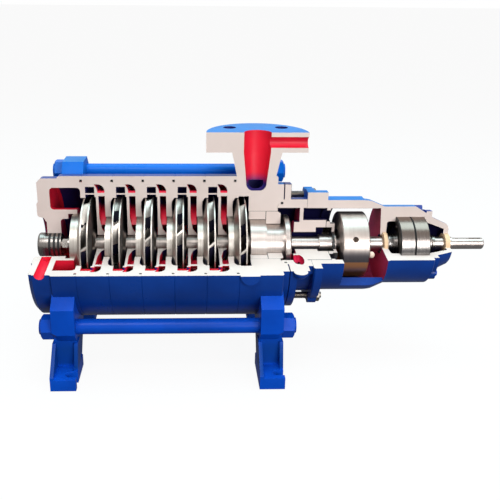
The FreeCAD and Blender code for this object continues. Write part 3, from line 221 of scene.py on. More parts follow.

# The blue of the upper parts is greener, a painted sky reflection, and the legs under the tie rods get painted shade.
# In the return passages the red fades to navy painted shade in the outer third above the shaft and near the hub below.
paintedSkyTint = (("height", 38, 62),)
paintedLegShade = (("height", -112, -140), ("height", -171, -163))
paintedShadeOuterThird = (("reach", 62, 76), ("reach", 91, 87), ("height", -2, 2))
paintedShadeNearHub = (("reach", 35, 27), ("height", 2, -2))
boltEnamel = enamel("boltEnamel", "#0a50c8", "#0843ac", 0.28, 0.14, 0.03, rollHeight=0,
                    layers=(("#0b6acc", 1.0, paintedSkyTint),))
paints = {
    "blue": enamel("blueEnamel", "#0a52cc", "#0846b4", 0.3, 0.1, rollHeight=0.35,
                   layers=(("#0b68c8", 1.0, paintedSkyTint), ("#0b3f92", 1.0, paintedLegShade))),
    "sky": enamel("upperFlatSkyReflectionEnamel", "#0b7ecf", "#0a70bb", 0.3, 0.1, rollHeight=0.35),  # painted sky reflection on the flats that look up
    "barrel": enamel("barrelPaintedShadeEnamel", "#0f3f96", "#0c3480", 0.28, 0.22),  # a darker copy of the blue: painted shade on the round casings and low parts
    "cream": enamel("creamEnamel", "#e9dad3", "#e0d0c8", 0.5, 0.2, 0.02, rollHeight=0),  # matt, on smooth cuts
    "red": enamel("redEnamel", "#ee243f", "#dc1f39", 0.36, 0.3),  # glossier signal red of the chambers
    # navy: painted shade inside the passages and chambers, kept pale enough to stand in for the light deep in
    "navy": enamel("navyEnamel", "#2a2876", "#22205f", 0.4, 0.25),
    "shade": enamel("darkNavyEnamel", "#201e54", "#1a1846", 0.45, 0.2),  # dark and dull behind the seal
    "egg": enamel("crimsonEnamel", "#cf1f47", "#b8193d", 0.5, 0.12),  # the cooling bore, egg-shaped where cut
    "collector": enamel("collectorPaintedLightEnamel", "#8682d6", "#7a76c8", 0.5, 0.2),  # much paler navy, painted light where it lies deep in shade
    "maroon": enamel("maroonPaintedShadeEnamel", "#c83a62", "#a02a4e", 0.5, 0.12),  # a darker, duller red: painted shade on the red walls that face away from the light
    "lantern": enamel("lanternFloorEnamel", "#a63058", "#822446", 0.5, 0.1,  # darker red, painted shade on the lantern floor; navy towards the pump
                      layers=(("#1d1b4c", 1.0, (("along", 196, 184),)),)),
    "passage": enamel("passageEnamel", "#f2294a", "#dd2040", 0.36, 0.3,
                      layers=(("#23205c", 1.0, paintedShadeOuterThird), ("#23205c", 1.0, paintedShadeNearHub))),
    "nozzle": enamel("nozzleEnamel", "#ea2039", "#de1c35", 0.4, 0.3,  # its rounded end is navy
                     layers=(("#2b2770", 1.0, (("height", 126, 104),)),)),
    "steel": bushSteel, "joint": jointSeam,
}


# One face as the painter sees it: x along the shaft, y away from the viewer, h above the shaft and r out from
# it. Where it looks is given in cosines: nx, ny, nz, and away from the shaft.
class Face:
    def __init__(self, centre, normal):
        self.x, self.y, self.h = centre.x * 1000, centre.y * 1000, centre.z * 1000 - pump["shaftHeight"]
        self.r = math.hypot(self.y, self.h)
        self.nx, self.ny, self.nz = normal
        self.away = (normal.y * self.y + normal.z * self.h) / max(self.r, 1e-6)
        fall, slack = math.radians(pump["cutFall"]), pump["cutSlack"]
        lower = self.h * math.cos(fall) - self.y * math.sin(fall)
        facing = normal.z * math.cos(fall) - normal.y * math.sin(fall)
        self.cut = (abs(self.y) < slack and self.ny < -0.99) or (abs(lower) < slack and facing > 0.99)


# Lengths from the closed end, and the suction nozzle at the back
suction = {
    "nozzleToJoint": 26.4, "nozzleRadius": 26, "nozzleFrom": 60, "outside": 115.9, "flangeFrom": 122,
    "barrel": 121.5, "endFace": 8, "recess": 51, "recessFloor": 13.5, "hub": 62, "hubFrom": 30, "hubBottom": -8,
    "roof": 93, "roofFrom": 26.8,
}


# Painted shade: the darker barrel blue outside, maroon on the recess floor and hub ends, navy in the nozzle, round the
# hub and on the chamber roof
def paintSuctionCasing(f):
    depth = f.x - pump["suctionEnd"]
    aside = f.x - pump["firstJoint"] + suction["nozzleToJoint"]
    inNozzle = f.y > suction["nozzleFrom"] and math.hypot(aside, f.h) < suction["nozzleRadius"]
    if inNozzle and aside * f.nx + f.h * f.nz < 0:
        return "navy"
    if f.r > suction["outside"] or f.y > suction["flangeFrom"]:
        return "barrel" if f.r < suction["barrel"] else "blue"
    if depth < suction["endFace"] and (f.r > suction["recess"] or f.nx < -0.9):
        return "barrel"
    if depth < suction["recessFloor"] and f.r < suction["recess"]:
        return "maroon"
    if f.r < suction["hub"] and depth > suction["hubFrom"] and f.away < 0.5 and f.h > suction["hubBottom"]:
        return "maroon" if f.nx > 0.7 else "navy"
    if f.away < -0.4 and f.r > suction["roof"] and f.h > 0 and depth > suction["roofFrom"]:
        return "navy"
    return "red"


# Lengths from each stage's joint
stageCasing = {"outside": 119.5, "spigot": 107.3, "wall": 37, "passage": 94}


# Painted shade: the darker barrel blue outside, and navy inside except on the crossover walls that face the suction
def paintStageCasing(f):
    offset = (f.x - pump["firstJoint"]) % pump["pitch"]
    if f.r > stageCasing["outside"]:
        return "barrel"
    if f.r > stageCasing["spigot"]:
        return "cream"
    if offset < stageCasing["wall"] and f.nx < -0.15:
        return "passage" if f.r < stageCasing["passage"] else "red"
    return "navy"


diffuser = {
    "returnFrom": 25.6, "returnReach": 95, "plateBack": 21.8, "crossoverFrom": 19.4, "crossoverReach": 102,
    "vanesFrom": 4, "vanesTo": 20.5, "vanesInner": 84.9, "vanesOuter": 103, "lastInner": 85,
}


# Red on the return side and the crossover; among the vanes red only below the shaft, and navy painted shade elsewhere
def paintDiffuser(f):
    offset = (f.x - pump["firstJoint"]) % pump["pitch"]
    if offset > diffuser["returnFrom"] and f.r < diffuser["returnReach"]:
        return "passage"
    if offset > diffuser["plateBack"] or (offset > diffuser["crossoverFrom"] and f.r > diffuser["crossoverReach"]):
        return "red"
    amongVanes = (diffuser["vanesFrom"] < offset < diffuser["vanesTo"]
                  and diffuser["vanesInner"] < f.r < diffuser["vanesOuter"])
    return "red" if amongVanes and f.h <= 0 else "navy"


# Red on the outer walls below the shaft, navy painted shade elsewhere
def paintLastDiffuser(f):
    return "red" if f.h < 0 and f.away < -0.5 and f.r > diffuser["lastInner"] else "navy"


# The nozzle stands over X = 0, the gauge hole runs level from it, and the pads carry the tie rods
discharge = {
    "nozzleRadius": 23.2, "nozzleBottom": 93, "gaugeFrom": 17, "gaugeRadius": 9.3, "gaugeHeight": 178,
    "flangeFrom": 160, "boltPlace": 44.2, "boltRadius": 11.3, "outside": 105, "collectorHalf": 16,
    "collectorReach": 112.5, "collectorBack": 40, "collectorInner": 90, "padSide": -100, "padCentre": -17,
    "padHalf": 16, "padHeight": 26, "barrel": 121.5, "barrelTop": 90, "endFace": 46.5,
}


# Painted shade: the darker barrel blue on the side pad and on the barrel below barrelTop, and navy inside and in the
# bolt holes
def paintDischargeCasing(f):
    d = discharge
    inCollector = f.y > 0 and abs(f.x) < d["collectorHalf"]
    if math.hypot(f.x, f.y) < d["nozzleRadius"] and f.h > d["nozzleBottom"] and f.x * f.nx + f.y * f.ny < 1e-6:
        return "nozzle"
    inGaugeHole = abs(f.y) < d["gaugeRadius"] and abs(f.h - d["gaugeHeight"]) < d["gaugeRadius"]
    if inGaugeHole and f.x > d["gaugeFrom"] and f.nx < 0.5:
        return "red"
    fromBolt = math.hypot(abs(f.x) - d["boltPlace"], f.y - d["boltPlace"])
    if f.h > d["flangeFrom"] and fromBolt < d["boltRadius"] and abs(f.nz) < 0.3:
        return "navy"
    if f.r > d["outside"] and not (inCollector and f.r < d["collectorReach"] and f.away < 0.5):
        onPad = f.y < d["padSide"] and abs(f.x - d["padCentre"]) < d["padHalf"] and abs(f.h) < d["padHeight"]
        return "barrel" if onPad or (f.r < d["barrel"] and f.h < d["barrelTop"]) else "blue"
    if f.x > d["endFace"] and f.nx > 0.5:
        return "blue"
    return "collector" if inCollector and f.y > d["collectorBack"] and f.r > d["collectorInner"] else "navy"


# Each cooling bore by X, height and distance from the shaft, from and to
sealHousing = {
    "bores": ((52, 92, -13, 13, 42, 80.5), (66, 78, -30, 13, 36, 64)),
    "outside": 80, "front": 76.5, "web": 66, "flangeBack": 48,
}


# Painted shade: the darker barrel blue outside, maroon on the walls that face the impellers and dark navy inside
def paintSealHousing(f):
    for left, right, low, high, inner, outer in sealHousing["bores"]:
        if f.y < 0 and left < f.x < right and low < f.h < high and inner < f.r < outer:
            return "egg"
    if f.r > sealHousing["outside"] and f.away > -0.5:
        return "barrel"
    if f.x < sealHousing["front"] and f.nx < -0.5 and f.r < sealHousing["web"]:
        return "maroon"
    if f.x < sealHousing["flangeBack"] and f.r > sealHousing["web"]:
        return "cream"
    return "barrel" if f.r > sealHousing["web"] and f.away > -0.5 else "shade"


bracket = {
    "wallFrom": 215, "wallTo": 219.5, "inside": 65.2, "insideTo": 295.8, "seatFrom": 280, "seat": 52,
    "lanternFrom": 140, "lanternTo": 219, "lanternFloor": 60, "lanternTop": 20, "barrelTop": 60,
}


# Painted shade: maroon on the wall that faces the pump, dark navy inside with the darker lantern floor, and the darker
# barrel blue below barrelTop
def paintBearingBracket(f):
    b = bracket
    if b["wallFrom"] < f.x < b["wallTo"] and f.nx < -0.8:
        return "maroon"
    onSeat = f.x > b["seatFrom"] and f.r > b["seat"]
    if f.r < b["inside"] and f.away < 0.3 and f.x < b["insideTo"] and not onSeat:
        inLantern = b["lanternFrom"] < f.x < b["lanternTo"] and f.r > b["lanternFloor"] and f.h < b["lanternTop"]
        return "lantern" if inLantern else "shade"
    return "barrel" if f.h < b["barrelTop"] else "blue"


endCover = {"spigot": 49.5}


# Painted shade: dark navy inside and the darker barrel blue outside
def paintEndCover(f):
    return "shade" if f.away < -0.2 or (f.nx < -0.5 and f.r < endCover["spigot"]) else "barrel"


def paintTurnedRing(f):
    return "steel"


painterOf = {
    "suction_casing": paintSuctionCasing, "discharge_casing": paintDischargeCasing,
    "diffuser_6": paintLastDiffuser, "seal_housing": paintSealHousing,
    "bearing_bracket": paintBearingBracket, "end_cover": paintEndCover,
    "throttle_bush": paintTurnedRing, "throttle_ring": paintTurnedRing, "seal_cover": paintTurnedRing,
}
for stage in range(1, pump["stages"]):
    painterOf[f"stage_casing_{stage}"] = paintStageCasing
    painterOf[f"diffuser_{stage}"] = paintDiffuser

# Lengths from each impeller's joint; the front shroud is a cone from the eye to the rim
impeller = {
    "firstEye": 62, "eye": 54, "rim": 82.4, "coneStart": -2, "coneEnd": 3.7, "coneSlack": 0.25, "backPlate": 12.95,
    "back": 12.5, "backHub": 30, "rimBand": 81, "eyeBand": 2, "brightReach": 66, "brightHeight": 24,
}
impellerCoats = {"metal": impellerSteel, "passageShade": impellerPassageShade, "back": backSteel, "vane": vaneSteel}


# The spaces between the two shrouds of an impeller get painted shade, the vane tips at its rim and the vanes above
# the shaft stay bright steel, and the back of the hub plate is darker
def paintImpeller(f, number):
    offset = f.x - pump["firstJoint"] - pump["pitch"] * (number - 1)
    eye = impeller["firstEye" if number == 1 else "eye"]
    if f.nx > 0.6 and offset > impeller["back"] and f.r > impeller["backHub"]:
        return "back"
    if f.r < eye + impeller["eyeBand"] or (f.away > 0.8 and f.r > impeller["rimBand"]):
        return "metal"
    if abs(f.nx) < 0.5 and f.away > 0.15 and f.r > impeller["brightReach"] and f.h > impeller["brightHeight"]:
        return "vane"
    rise = (impeller["coneEnd"] - impeller["coneStart"]) / (impeller["rim"] - eye)
    cone = impeller["coneStart"] + rise * (f.r - eye)
    return "passageShade" if cone - impeller["coneSlack"] < offset < impeller["backPlate"] else "metal"


# Angles in degrees, and the distances in metres under which points are joined
meshing = {
    "sharpAngle": 28, "edgeAngle": 32, "flatAngle": 0.3, "seamAngle": 0.2, "roundingSteps": 3, "roundingProfile": 0.6,
    "weld": 2e-6, "grownWeld": 1e-6, "sliver": 1e-7,
}


def shadeByAngle(shape):
    limit = math.radians(meshing["sharpAngle"])
    for edge in shape.edges:
        edge.smooth = len(edge.link_faces) == 2 and edge.calc_face_angle(0) < limit
    for face in shape.faces:
        face.smooth = True


# Rounds the sharp outer edges between two blue flats, as a moulder's fillet and several coats leave them
def roundEdges(shape, radius, blues):
    bmesh.ops.dissolve_limit(shape, angle_limit=math.radians(meshing["flatAngle"]), verts=shape.verts,
                             edges=shape.edges, delimit={"MATERIAL"})
    rims = [edge for edge in shape.edges if len(edge.link_faces) == 2 and edge.is_convex
            and all(face.material_index in blues for face in edge.link_faces)
            and edge.calc_face_angle(0) > math.radians(meshing["edgeAngle"])]
    bmesh.ops.bevel(shape, geom=rims, offset=radius / 1000, offset_type="OFFSET", affect="EDGES",
                    segments=meshing["roundingSteps"], profile=meshing["roundingProfile"], clamp_overlap=True,
                    material=-1)


# Draws the joint round the cut faces of a part that was let into another: a dark border inside each flat
def lineJoint(shape, width, flatInk, borderInk):
    flats = [face for face in shape.faces if face.material_index == flatInk]
    seams = {edge for face in flats for edge in face.edges}
    bmesh.ops.dissolve_limit(shape, angle_limit=math.radians(meshing["seamAngle"]), edges=list(seams),
                             verts=list({vert for face in flats for vert in face.verts}), delimit={"MATERIAL"})
    flats = [face for face in shape.faces if face.material_index == flatInk]
    border = bmesh.ops.inset_region(shape, faces=flats, thickness=width / 1000, use_even_offset=True,
                                    use_boundary=True)
    for face in border["faces"]:
        face.material_index = borderInk


def show(piece, node):
    bpy.context.scene.collection.objects.link(piece)
    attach(piece, bodyOf[node])
    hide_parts(node)


# Copies a CAD node, joins its loose triangles, paints it face by face and shades it smooth between sharp edges
def dress(node, coats, painter=None, carve=None, radius=0, jointWidth=0):
    mesh = frame["nodes"][node].data.copy()
    mesh.name = node + "Mesh"
    for layer in [a for a in mesh.attributes if a.name == "custom_normal"]:
        mesh.attributes.remove(layer)
    mesh.materials.clear()
    shape = bmesh.new()
    shape.from_mesh(mesh)
    bmesh.ops.remove_doubles(shape, verts=shape.verts, dist=meshing["weld"])
    bmesh.ops.dissolve_degenerate(shape, edges=shape.edges, dist=meshing["sliver"])
    if carve:
        shape = carve(shape, mesh)
    inks = list(coats)
    for material in coats.values():
        mesh.materials.append(material)
    for face in shape.faces:
        ink = painter(Face(face.calc_center_median(), face.normal)) if painter else inks[0]
        face.material_index = inks.index(ink)
    if radius:
        roundEdges(shape, radius, (inks.index("blue"), inks.index("sky")))
    if jointWidth:
        lineJoint(shape, jointWidth, inks.index("cream"), inks.index("joint"))
    shadeByAngle(shape)
    shape.to_mesh(mesh)
    shape.free()
    show(bpy.data.objects.new(node + "Finished", mesh), node)


# The mesh of an object as its modifiers leave it
def takeMesh(piece):
    bpy.context.view_layer.update()
    return bpy.data.meshes.new_from_object(piece.evaluated_get(bpy.context.evaluated_depsgraph_get()))


# The near window of the lantern reaches lower than the solid's does, so its edge is cut back
window = {"left": 141, "right": 216, "from": 30, "to": 43, "inner": 56, "outer": 90}


def lowerWindow(shape, mesh):
    cutter = bmesh.new()
    rings = []
    for x in (window["left"], window["right"]):
        spots = []
        for reach, angle in ((window["inner"], window["from"]), (window["outer"], window["from"]),
                             (window["outer"], window["to"]), (window["inner"], window["to"])):
            turn = math.radians(angle)
            spots.append(cutter.verts.new((x / 1000, -reach * math.cos(turn) / 1000,
                                           (pump["shaftHeight"] - reach * math.sin(turn)) / 1000)))
        rings.append(spots)
    cutter.faces.new(rings[0])
    cutter.faces.new(list(reversed(rings[1])))
    for place in range(4):
        after = (place + 1) % 4
        cutter.faces.new((rings[0][place], rings[1][place], rings[1][after], rings[0][after]))
    bmesh.ops.recalc_face_normals(cutter, faces=cutter.faces)
    block = bpy.data.objects.new("windowCutter", bpy.data.meshes.new("windowCutter"))
    cutter.to_mesh(block.data)
    cutter.free()
    shape.to_mesh(mesh)
    shape.free()
    blank = bpy.data.objects.new("windowBlank", mesh)
    for helper in (block, blank):
        bpy.context.scene.collection.objects.link(helper)
    saw = blank.modifiers.new("saw", "BOOLEAN")
    saw.operation, saw.solver, saw.object = "DIFFERENCE", "EXACT", block
    sawn = takeMesh(blank)
    for helper in (block, blank):
        bpy.data.objects.remove(helper)
    result = bmesh.new()
    result.from_mesh(sawn)
    bmesh.ops.remove_doubles(result, verts=result.verts, dist=meshing["weld"])
    return result


# Rounded outer edges, painted joints, and the height above which blue flats that look up get the painted sky
# reflection
castingEdges = {
    "rounding": {"suction_casing": 2.2, "discharge_casing": 2.2},
    "jointWidth": {"throttle_ring": 0.6, "throttle_bush": 0.45, "seal_cover": 0.45, "seal_housing": 0.45},
    "skyHeight": 40,
}


def paintCasting(node):
    def painter(f):
        paint = "cream" if f.cut else painterOf[node](f)
        # blue flats that look up, high on the pump, get the painted sky reflection
        looksUp = f.nz > 0.8 and f.h > castingEdges["skyHeight"]
        return "sky" if paint == "blue" and looksUp else paint

    dress(node, paints, painter, lowerWindow if node == "bearing_bracket" else None,
          castingEdges["rounding"].get(node, 0), castingEdges["jointWidth"].get(node, 0))


print("painting the castings and finishing the metal")
finishes = {
    "painted_fasteners": boltEnamel, "impeller_castings": impellerSteel, "shaft_steel": shaftSteel,
    "bearing_steel": bearingSteel, "grey_bush_metal": bushSteel, "seal_carbon": sealCarbon,
    "black_rubber": blackRubber, "cream_lip_rings": peachFelt,
}
ownFinish = {
    "collar_ring": collarSteel, "collar_knob": creamPlastic, "bearing_lock_nut": bushSteel,
    "impeller_nut": bushSteel, "distance_sleeves": sleeveSteel, "collar_screws": blackOxide,
}
bearing = {"groove": 38, "coats": {"metal": bearingSteel, "groove": blackOxide}}
grown = ("tie_rod_nuts", "bracket_nuts", "cover_screws", "bracket_studs")
for node in sorted(frame["nodes"]):
    if node in grown:
        continue
    if node in painterOf:
        paintCasting(node)
    elif node.startswith("impeller_") and node[-1].isdigit():
        dress(node, impellerCoats, lambda f: paintImpeller(f, int(node[-1])))
    elif node == "bearing_outer_rings":
        dress(node, bearing["coats"], lambda f: "groove" if abs(f.nx) > 0.3 and f.r > bearing["groove"] else "metal")
    else:
        dress(node, {"metal": ownFinish.get(node, finishes[slotOf[node]])})


# A node tree with named sizes; "Places" are the points at which its shape stands, each with its own turn
def newTree(name, sizes):
    tree = bpy.data.node_groups.new(name, "GeometryNodeTree")
    tree.interface.new_socket("Places", in_out="INPUT", socket_type="NodeSocketGeometry")
    for label in sizes:
        tree.interface.new_socket(label, in_out="INPUT", socket_type="NodeSocketFloat")
    tree.interface.new_socket("Finish", in_out="INPUT", socket_type="NodeSocketMaterial")
    tree.interface.new_socket("Geometry", in_out="OUTPUT", socket_type="NodeSocketGeometry")
    return tree, addNode(tree, "NodeGroupInput")


# Stands the made shape at each place, turned about Y, and gives it its finish
def finishTree(tree, given, shape, output):
    turn = addNode(tree, "GeometryNodeInputNamedAttribute", {"data_type": "FLOAT"}, {"Name": "turn"})
    tilt = addNode(tree, "ShaderNodeCombineXYZ", links={"Y": (turn, "Attribute")})
    stand = addNode(tree, "GeometryNodeInstanceOnPoints",
                    links={"Points": (given, "Places"), "Instance": (shape, output), "Rotation": (tilt, 0)})
    real = addNode(tree, "GeometryNodeRealizeInstances", links={"Geometry": (stand, "Instances")})
    coat = addNode(tree, "GeometryNodeSetMaterial",
                   links={"Geometry": (real, "Geometry"), "Material": (given, "Finish")})
    addNode(tree, "NodeGroupOutput", links={"Geometry": (coat, "Geometry")})


# Hexagon nut or screw head: a prism whose outer corners a 30 degree cone takes off, with a hole or a dimple
hexagon = {"crown": 0.475, "coneSides": 60, "boreSides": 40, "drillLength": 4}


def makeFastenerTree():
    tree, given = newTree("hexFastener", ("Across", "Thick", "Bore", "BoreFrom"))
    times, plus = {"operation": "MULTIPLY"}, {"operation": "ADD"}
    corner = addNode(tree, "ShaderNodeMath", times, {1: 1 / math.sqrt(3)}, {0: (given, "Across")})
    half = addNode(tree, "ShaderNodeMath", times, {1: 0.5}, {0: (given, "Thick")})
    prism = addNode(tree, "GeometryNodeMeshCylinder", None, {"Vertices": 6},
                    {"Radius": (corner, 0), "Depth": (given, "Thick")})
    lift = addNode(tree, "ShaderNodeCombineXYZ", links={"Z": (half, 0)})
    raised = addNode(tree, "GeometryNodeTransform", None, {"Rotation": (0, 0, math.radians(30))},
                     {"Geometry": (prism, "Mesh"), "Translation": (lift, 0)})
    crown = addNode(tree, "ShaderNodeMath", times, {1: hexagon["crown"]}, {0: (given, "Across")})
    slope = addNode(tree, "ShaderNodeMath", times, {1: math.sqrt(3)}, {0: (given, "Thick")})
    skirt = addNode(tree, "ShaderNodeMath", plus, None, {0: (crown, 0), 1: (slope, 0)})
    cone = addNode(tree, "GeometryNodeMeshCone", None, {"Vertices": hexagon["coneSides"]},
                   {"Radius Top": (crown, 0), "Radius Bottom": (skirt, 0), "Depth": (given, "Thick")})
    nipped = addNode(tree, "GeometryNodeMeshBoolean", {"operation": "INTERSECT", "solver": "EXACT"},
                     links={"Mesh 2": (raised, "Geometry")})
    joinTo(tree, nipped, {"Mesh 2": (cone, "Mesh")})
    deep = addNode(tree, "ShaderNodeMath", times, {1: hexagon["drillLength"]}, {0: (given, "Thick")})
    drill = addNode(tree, "GeometryNodeMeshCylinder", None, {"Vertices": hexagon["boreSides"]},
                    {"Radius": (given, "Bore"), "Depth": (deep, 0)})
    middle = addNode(tree, "ShaderNodeMath", times, {1: 0.5}, {0: (deep, 0)})
    start = addNode(tree, "ShaderNodeMath", plus, None, {0: (middle, 0), 1: (given, "BoreFrom")})
    along = addNode(tree, "ShaderNodeCombineXYZ", links={"Z": (start, 0)})
    placed = addNode(tree, "GeometryNodeTransform", links={"Geometry": (drill, "Mesh"), "Translation": (along, 0)})
    drilled = addNode(tree, "GeometryNodeMeshBoolean", {"operation": "DIFFERENCE", "solver": "EXACT"},
                      links={"Mesh 1": (nipped, "Mesh"), "Mesh 2": (placed, "Geometry")})
    finishTree(tree, given, drilled, "Mesh")
    return tree


# Threaded bar: a core with one ridge to each turn of thread
thread = {"sides": 32, "ridgeSides": 4}


def makeThreadTree():
    tree, given = newTree("threadedBar", ("Radius", "Length", "Pitch", "Depth"))
    times, minus = {"operation": "MULTIPLY"}, {"operation": "SUBTRACT"}
    coreRadius = addNode(tree, "ShaderNodeMath", minus, None, {0: (given, "Radius"), 1: (given, "Depth")})
    half = addNode(tree, "ShaderNodeMath", times, {1: 0.5}, {0: (given, "Length")})
    core = addNode(tree, "GeometryNodeMeshCylinder", None, {"Vertices": thread["sides"]},
                   {"Radius": (coreRadius, 0), "Depth": (given, "Length")})
    lift = addNode(tree, "ShaderNodeCombineXYZ", links={"Z": (half, 0)})
    raised = addNode(tree, "GeometryNodeTransform", links={"Geometry": (core, "Mesh"), "Translation": (lift, 0)})
    turns = addNode(tree, "ShaderNodeMath", {"operation": "DIVIDE"}, None, {0: (given, "Length"), 1: (given, "Pitch")})
    count = addNode(tree, "ShaderNodeMath", minus, {1: 0.5}, {0: (turns, 0)})
    first = addNode(tree, "ShaderNodeMath", times, {1: 0.5}, {0: (given, "Pitch")})
    begin = addNode(tree, "ShaderNodeCombineXYZ", links={"Z": (first, 0)})
    step = addNode(tree, "ShaderNodeCombineXYZ", links={"Z": (given, "Pitch")})
    line = addNode(tree, "GeometryNodeMeshLine",
                   links={"Count": (count, 0), "Start Location": (begin, 0), "Offset": (step, 0)})
    circle = addNode(tree, "GeometryNodeCurvePrimitiveCircle", None, {"Resolution": thread["sides"]},
                     {"Radius": (coreRadius, 0)})
    edge = addNode(tree, "GeometryNodeCurvePrimitiveCircle", None, {"Resolution": thread["ridgeSides"]},
                   {"Radius": (given, "Depth")})
    ridge = addNode(tree, "GeometryNodeCurveToMesh",
                    links={"Curve": (circle, "Curve"), "Profile Curve": (edge, "Curve")})
    ridges = addNode(tree, "GeometryNodeInstanceOnPoints",
                     links={"Points": (line, "Mesh"), "Instance": (ridge, "Mesh")})
    both = addNode(tree, "GeometryNodeJoinGeometry", links={"Geometry": (raised, "Geometry")})
    joinTo(tree, both, {"Geometry": (ridges, "Instances")})
    finishTree(tree, given, both, "Geometry")
    return tree


# Runs a tree on a list of (x, y, height above the shaft, turn) and keeps the plain mesh; sizes in millimetres
def growPiece(name, node, tree, places, sizes, finish):
    seed = bpy.data.meshes.new(name + "Places")
    seed.from_pydata([(x / 1000, y / 1000, (pump["shaftHeight"] + h) / 1000) for x, y, h, turn in places], [], [])
    turns = seed.attributes.new("turn", "FLOAT", "POINT")
    turns.data.foreach_set("value", [math.radians(place[3]) for place in places])
    sprout = bpy.data.objects.new(name + "Sprout", seed)
    bpy.context.scene.collection.objects.link(sprout)
    grower = sprout.modifiers.new("grower", "NODES")
    grower.node_group = tree
    for socket in tree.interface.items_tree:
        if socket.in_out == "INPUT" and socket.name in sizes:
            grower[socket.identifier] = sizes[socket.name] / 1000
        elif socket.in_out == "INPUT" and socket.name == "Finish":
            grower[socket.identifier] = finish
    plain = takeMesh(sprout)
    plain.name = name + "Mesh"
    bpy.data.objects.remove(sprout)
    shape = bmesh.new()
    shape.from_mesh(plain)
    bmesh.ops.remove_doubles(shape, verts=shape.verts, dist=meshing["grownWeld"])
    shadeByAngle(shape)
    shape.to_mesh(plain)
    shape.free()
    show(bpy.data.objects.new(name, plain), node)


print("growing the nuts, screws and studs")
tieRodNuts = {"offset": 104.4, "leftSeat": -333.8, "rightSeat": 38.5, "corners": ((1, 1), (1, -1), (-1, -1)),
              "sizes": {"Across": 36, "Thick": 20, "Bore": 12.75, "BoreFrom": -10}}
lanternStuds = {"circle": 89, "angles": (60, 240, 300), "start": 47.3, "nutSeat": 102.5,
                "bar": {"Radius": 6, "Length": 65.1, "Pitch": 1.75, "Depth": 0.75},
                "nut": {"Across": 19, "Thick": 7, "Bore": 6.05, "BoreFrom": -5}}
coverScrews = {"circle": 55, "angles": (45, 225, 315), "seat": 306,
               "sizes": {"Across": 10, "Thick": 5, "Bore": 2.6, "BoreFrom": 4.5}}


def roundTheShaft(x, circle, angles):
    return [(x, circle * math.cos(math.radians(a)), circle * math.sin(math.radians(a)), 90) for a in angles]


fastenerTree, threadTree = makeFastenerTree(), makeThreadTree()
offset = tieRodNuts["offset"]
growPiece("tieRodNuts", "tie_rod_nuts", fastenerTree,
          [(seat, side * offset, level * offset, turn) for side, level in tieRodNuts["corners"]
           for seat, turn in ((tieRodNuts["leftSeat"], -90), (tieRodNuts["rightSeat"], 90))],
          tieRodNuts["sizes"], boltEnamel)
growPiece("lanternStuds", "bracket_studs", threadTree,
          roundTheShaft(lanternStuds["start"], lanternStuds["circle"], lanternStuds["angles"]),
          lanternStuds["bar"], platedSteel)
growPiece("lanternNuts", "bracket_nuts", fastenerTree,
          roundTheShaft(lanternStuds["nutSeat"], lanternStuds["circle"], lanternStuds["angles"]),
          lanternStuds["nut"], platedSteel)
growPiece("coverScrewHeads", "cover_screws", fastenerTree,
          roundTheShaft(coverScrews["seat"], coverScrews["circle"], coverScrews["angles"]),
          coverScrews["sizes"], boltEnamel)

print("setting the floor, lamps and camera")
# Lengths are in metres. The camera sees the floor and the world nearly white, and metal sees part of that.
# Each lamp has a name, its place, what it points at, its size, its power and its colour.
studio = {
    "floorHalf": 30, "floorDrop": 1e-4, "floorColour": "#f4f4f4", "floorBounce": "#505054",
    "floorSeen": 0.93, "floorInMetal": 0.12, "worldStrength": 0.3, "worldInMetal": 0.6,
    "lamps": (
        ("keyLamp", (-0.45, -1.3, 2.15), (0, 0, 0.2), (1.2, 0.9), 21, "#ffffff"),
        ("fillLamp", (0.8, -1.9, 0.8), (0, 0, 0.22), (1.3, 0.9), 27, "#ffffff"),
        ("topLamp", (0.1, 0.4, 2.1), (0, 0, 0.2), (3.0, 1.2), 50, "#c6ebf2"),
    ),
}
half, drop = studio["floorHalf"], -studio["floorDrop"]
floorMesh = bpy.data.meshes.new("floorMesh")
floorMesh.from_pydata([(-half, -half, drop), (half, -half, drop), (half, half, drop), (-half, half, drop)],
                      [], [(0, 1, 2, 3)])
floor = bpy.data.objects.new("studioFloor", floorMesh)
bpy.context.scene.collection.objects.link(floor)
floorPaint, tree, shader, coords = newMaterial("studioFloorPaint")
shader.inputs["Roughness"].default_value = 0.9
shader.inputs["Specular IOR Level"].default_value = 0.1
rays = addNode(tree, "ShaderNodeLightPath")
seen = addNode(tree, "ShaderNodeMath", {"operation": "MAXIMUM"},
               links={0: (rays, "Is Camera Ray"), 1: (rays, "Is Transmission Ray")})
bounce = addNode(tree, "ShaderNodeMix", {"data_type": "RGBA"},
                 {"A": linearColour(studio["floorBounce"]), "B": linearColour(studio["floorColour"])},
                 {"Factor": (seen, 0)})
joinTo(tree, shader, {"Base Color": (bounce, "Result")})
seenShare = addNode(tree, "ShaderNodeMath", {"operation": "MULTIPLY"}, {1: studio["floorSeen"]}, {0: (seen, 0)})
metalShare = addNode(tree, "ShaderNodeMath", {"operation": "MULTIPLY"}, {1: studio["floorInMetal"]},
                     {0: (rays, "Is Glossy Ray")})
share = addNode(tree, "ShaderNodeMath", {"operation": "MAXIMUM"}, links={0: (seenShare, 0), 1: (metalShare, 0)})
white = addNode(tree, "ShaderNodeEmission", None, {"Color": (1, 1, 1, 1), "Strength": 1.0})
floorMix = addNode(tree, "ShaderNodeMixShader", links={0: (share, 0), 1: (shader, 0), 2: (white, 0)})
floorOut = next(node for node in tree.nodes if node.type == "OUTPUT_MATERIAL")
joinTo(tree, floorOut, {"Surface": (floorMix, 0)})
floorMesh.materials.append(floorPaint)

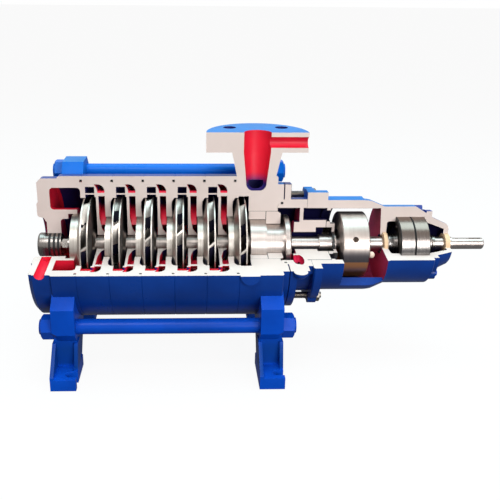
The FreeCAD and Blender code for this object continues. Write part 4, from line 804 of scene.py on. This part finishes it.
world = bpy.data.worlds.new("studioWorld")
bpy.context.scene.world = world
world.use_nodes = True
tree = world.node_tree
tree.nodes.clear()
sky = addNode(tree, "ShaderNodeBackground", None, {"Color": (1, 1, 1, 1), "Strength": studio["worldStrength"]})
backdrop = addNode(tree, "ShaderNodeBackground", None, {"Color": (1, 1, 1, 1), "Strength": 1.0})
rays = addNode(tree, "ShaderNodeLightPath")
seen = addNode(tree, "ShaderNodeMath", {"operation": "MAXIMUM"},
               links={0: (rays, "Is Camera Ray"), 1: (rays, "Is Transmission Ray")})
metalShare = addNode(tree, "ShaderNodeMath", {"operation": "MULTIPLY"}, {1: studio["worldInMetal"]},
                     {0: (rays, "Is Glossy Ray")})
share = addNode(tree, "ShaderNodeMath", {"operation": "MAXIMUM"}, links={0: (seen, 0), 1: (metalShare, 0)})
worldMix = addNode(tree, "ShaderNodeMixShader", links={0: (share, 0), 1: (sky, 0), 2: (backdrop, 0)})
addNode(tree, "ShaderNodeOutputWorld", links={"Surface": (worldMix, 0)})

for name, place, target, size, power, colour in studio["lamps"]:
    lamp = bpy.data.lights.new(name, "AREA")
    lamp.shape = "RECTANGLE"
    lamp.size, lamp.size_y = size
    lamp.energy = power
    lamp.color = linearColour(colour)[:3]
    holder = bpy.data.objects.new(name, lamp)
    holder.location = place
    holder.rotation_euler = (Vector(target) - Vector(place)).to_track_quat("-Z", "Y").to_euler()
    bpy.context.scene.collection.objects.link(holder)

# The camera that was fitted to the photograph; its turns are in radians
view = {"eye": (-0.1167, -1.1135, 0.6005), "yaw": 0.0356, "pitch": 0.3616, "roll": 0.0093,
        "lens": 49.302, "sensor": 36, "shiftX": 0.08}
yaw, pitch, roll = view["yaw"], view["pitch"], view["roll"]
forward = Vector((math.sin(yaw) * math.cos(pitch), math.cos(yaw) * math.cos(pitch), -math.sin(pitch)))
level = Vector((math.cos(yaw), -math.sin(yaw), 0))
upright = level.cross(forward)
right = level * math.cos(roll) + upright * math.sin(roll)
up = upright * math.cos(roll) - level * math.sin(roll)
cameraData = bpy.data.cameras.new("photoCamera")
cameraData.lens, cameraData.sensor_width, cameraData.shift_x = view["lens"], view["sensor"], view["shiftX"]
camera = bpy.data.objects.new("photoCamera", cameraData)
camera.matrix_world = Matrix((
    (right.x, up.x, -forward.x, view["eye"][0]),
    (right.y, up.y, -forward.y, view["eye"][1]),
    (right.z, up.z, -forward.z, view["eye"][2]),
    (0, 0, 0, 1)))
bpy.context.scene.collection.objects.link(camera)
bpy.context.scene.camera = camera
bpy.context.scene.view_settings.view_transform = "Standard"

print("finishing")
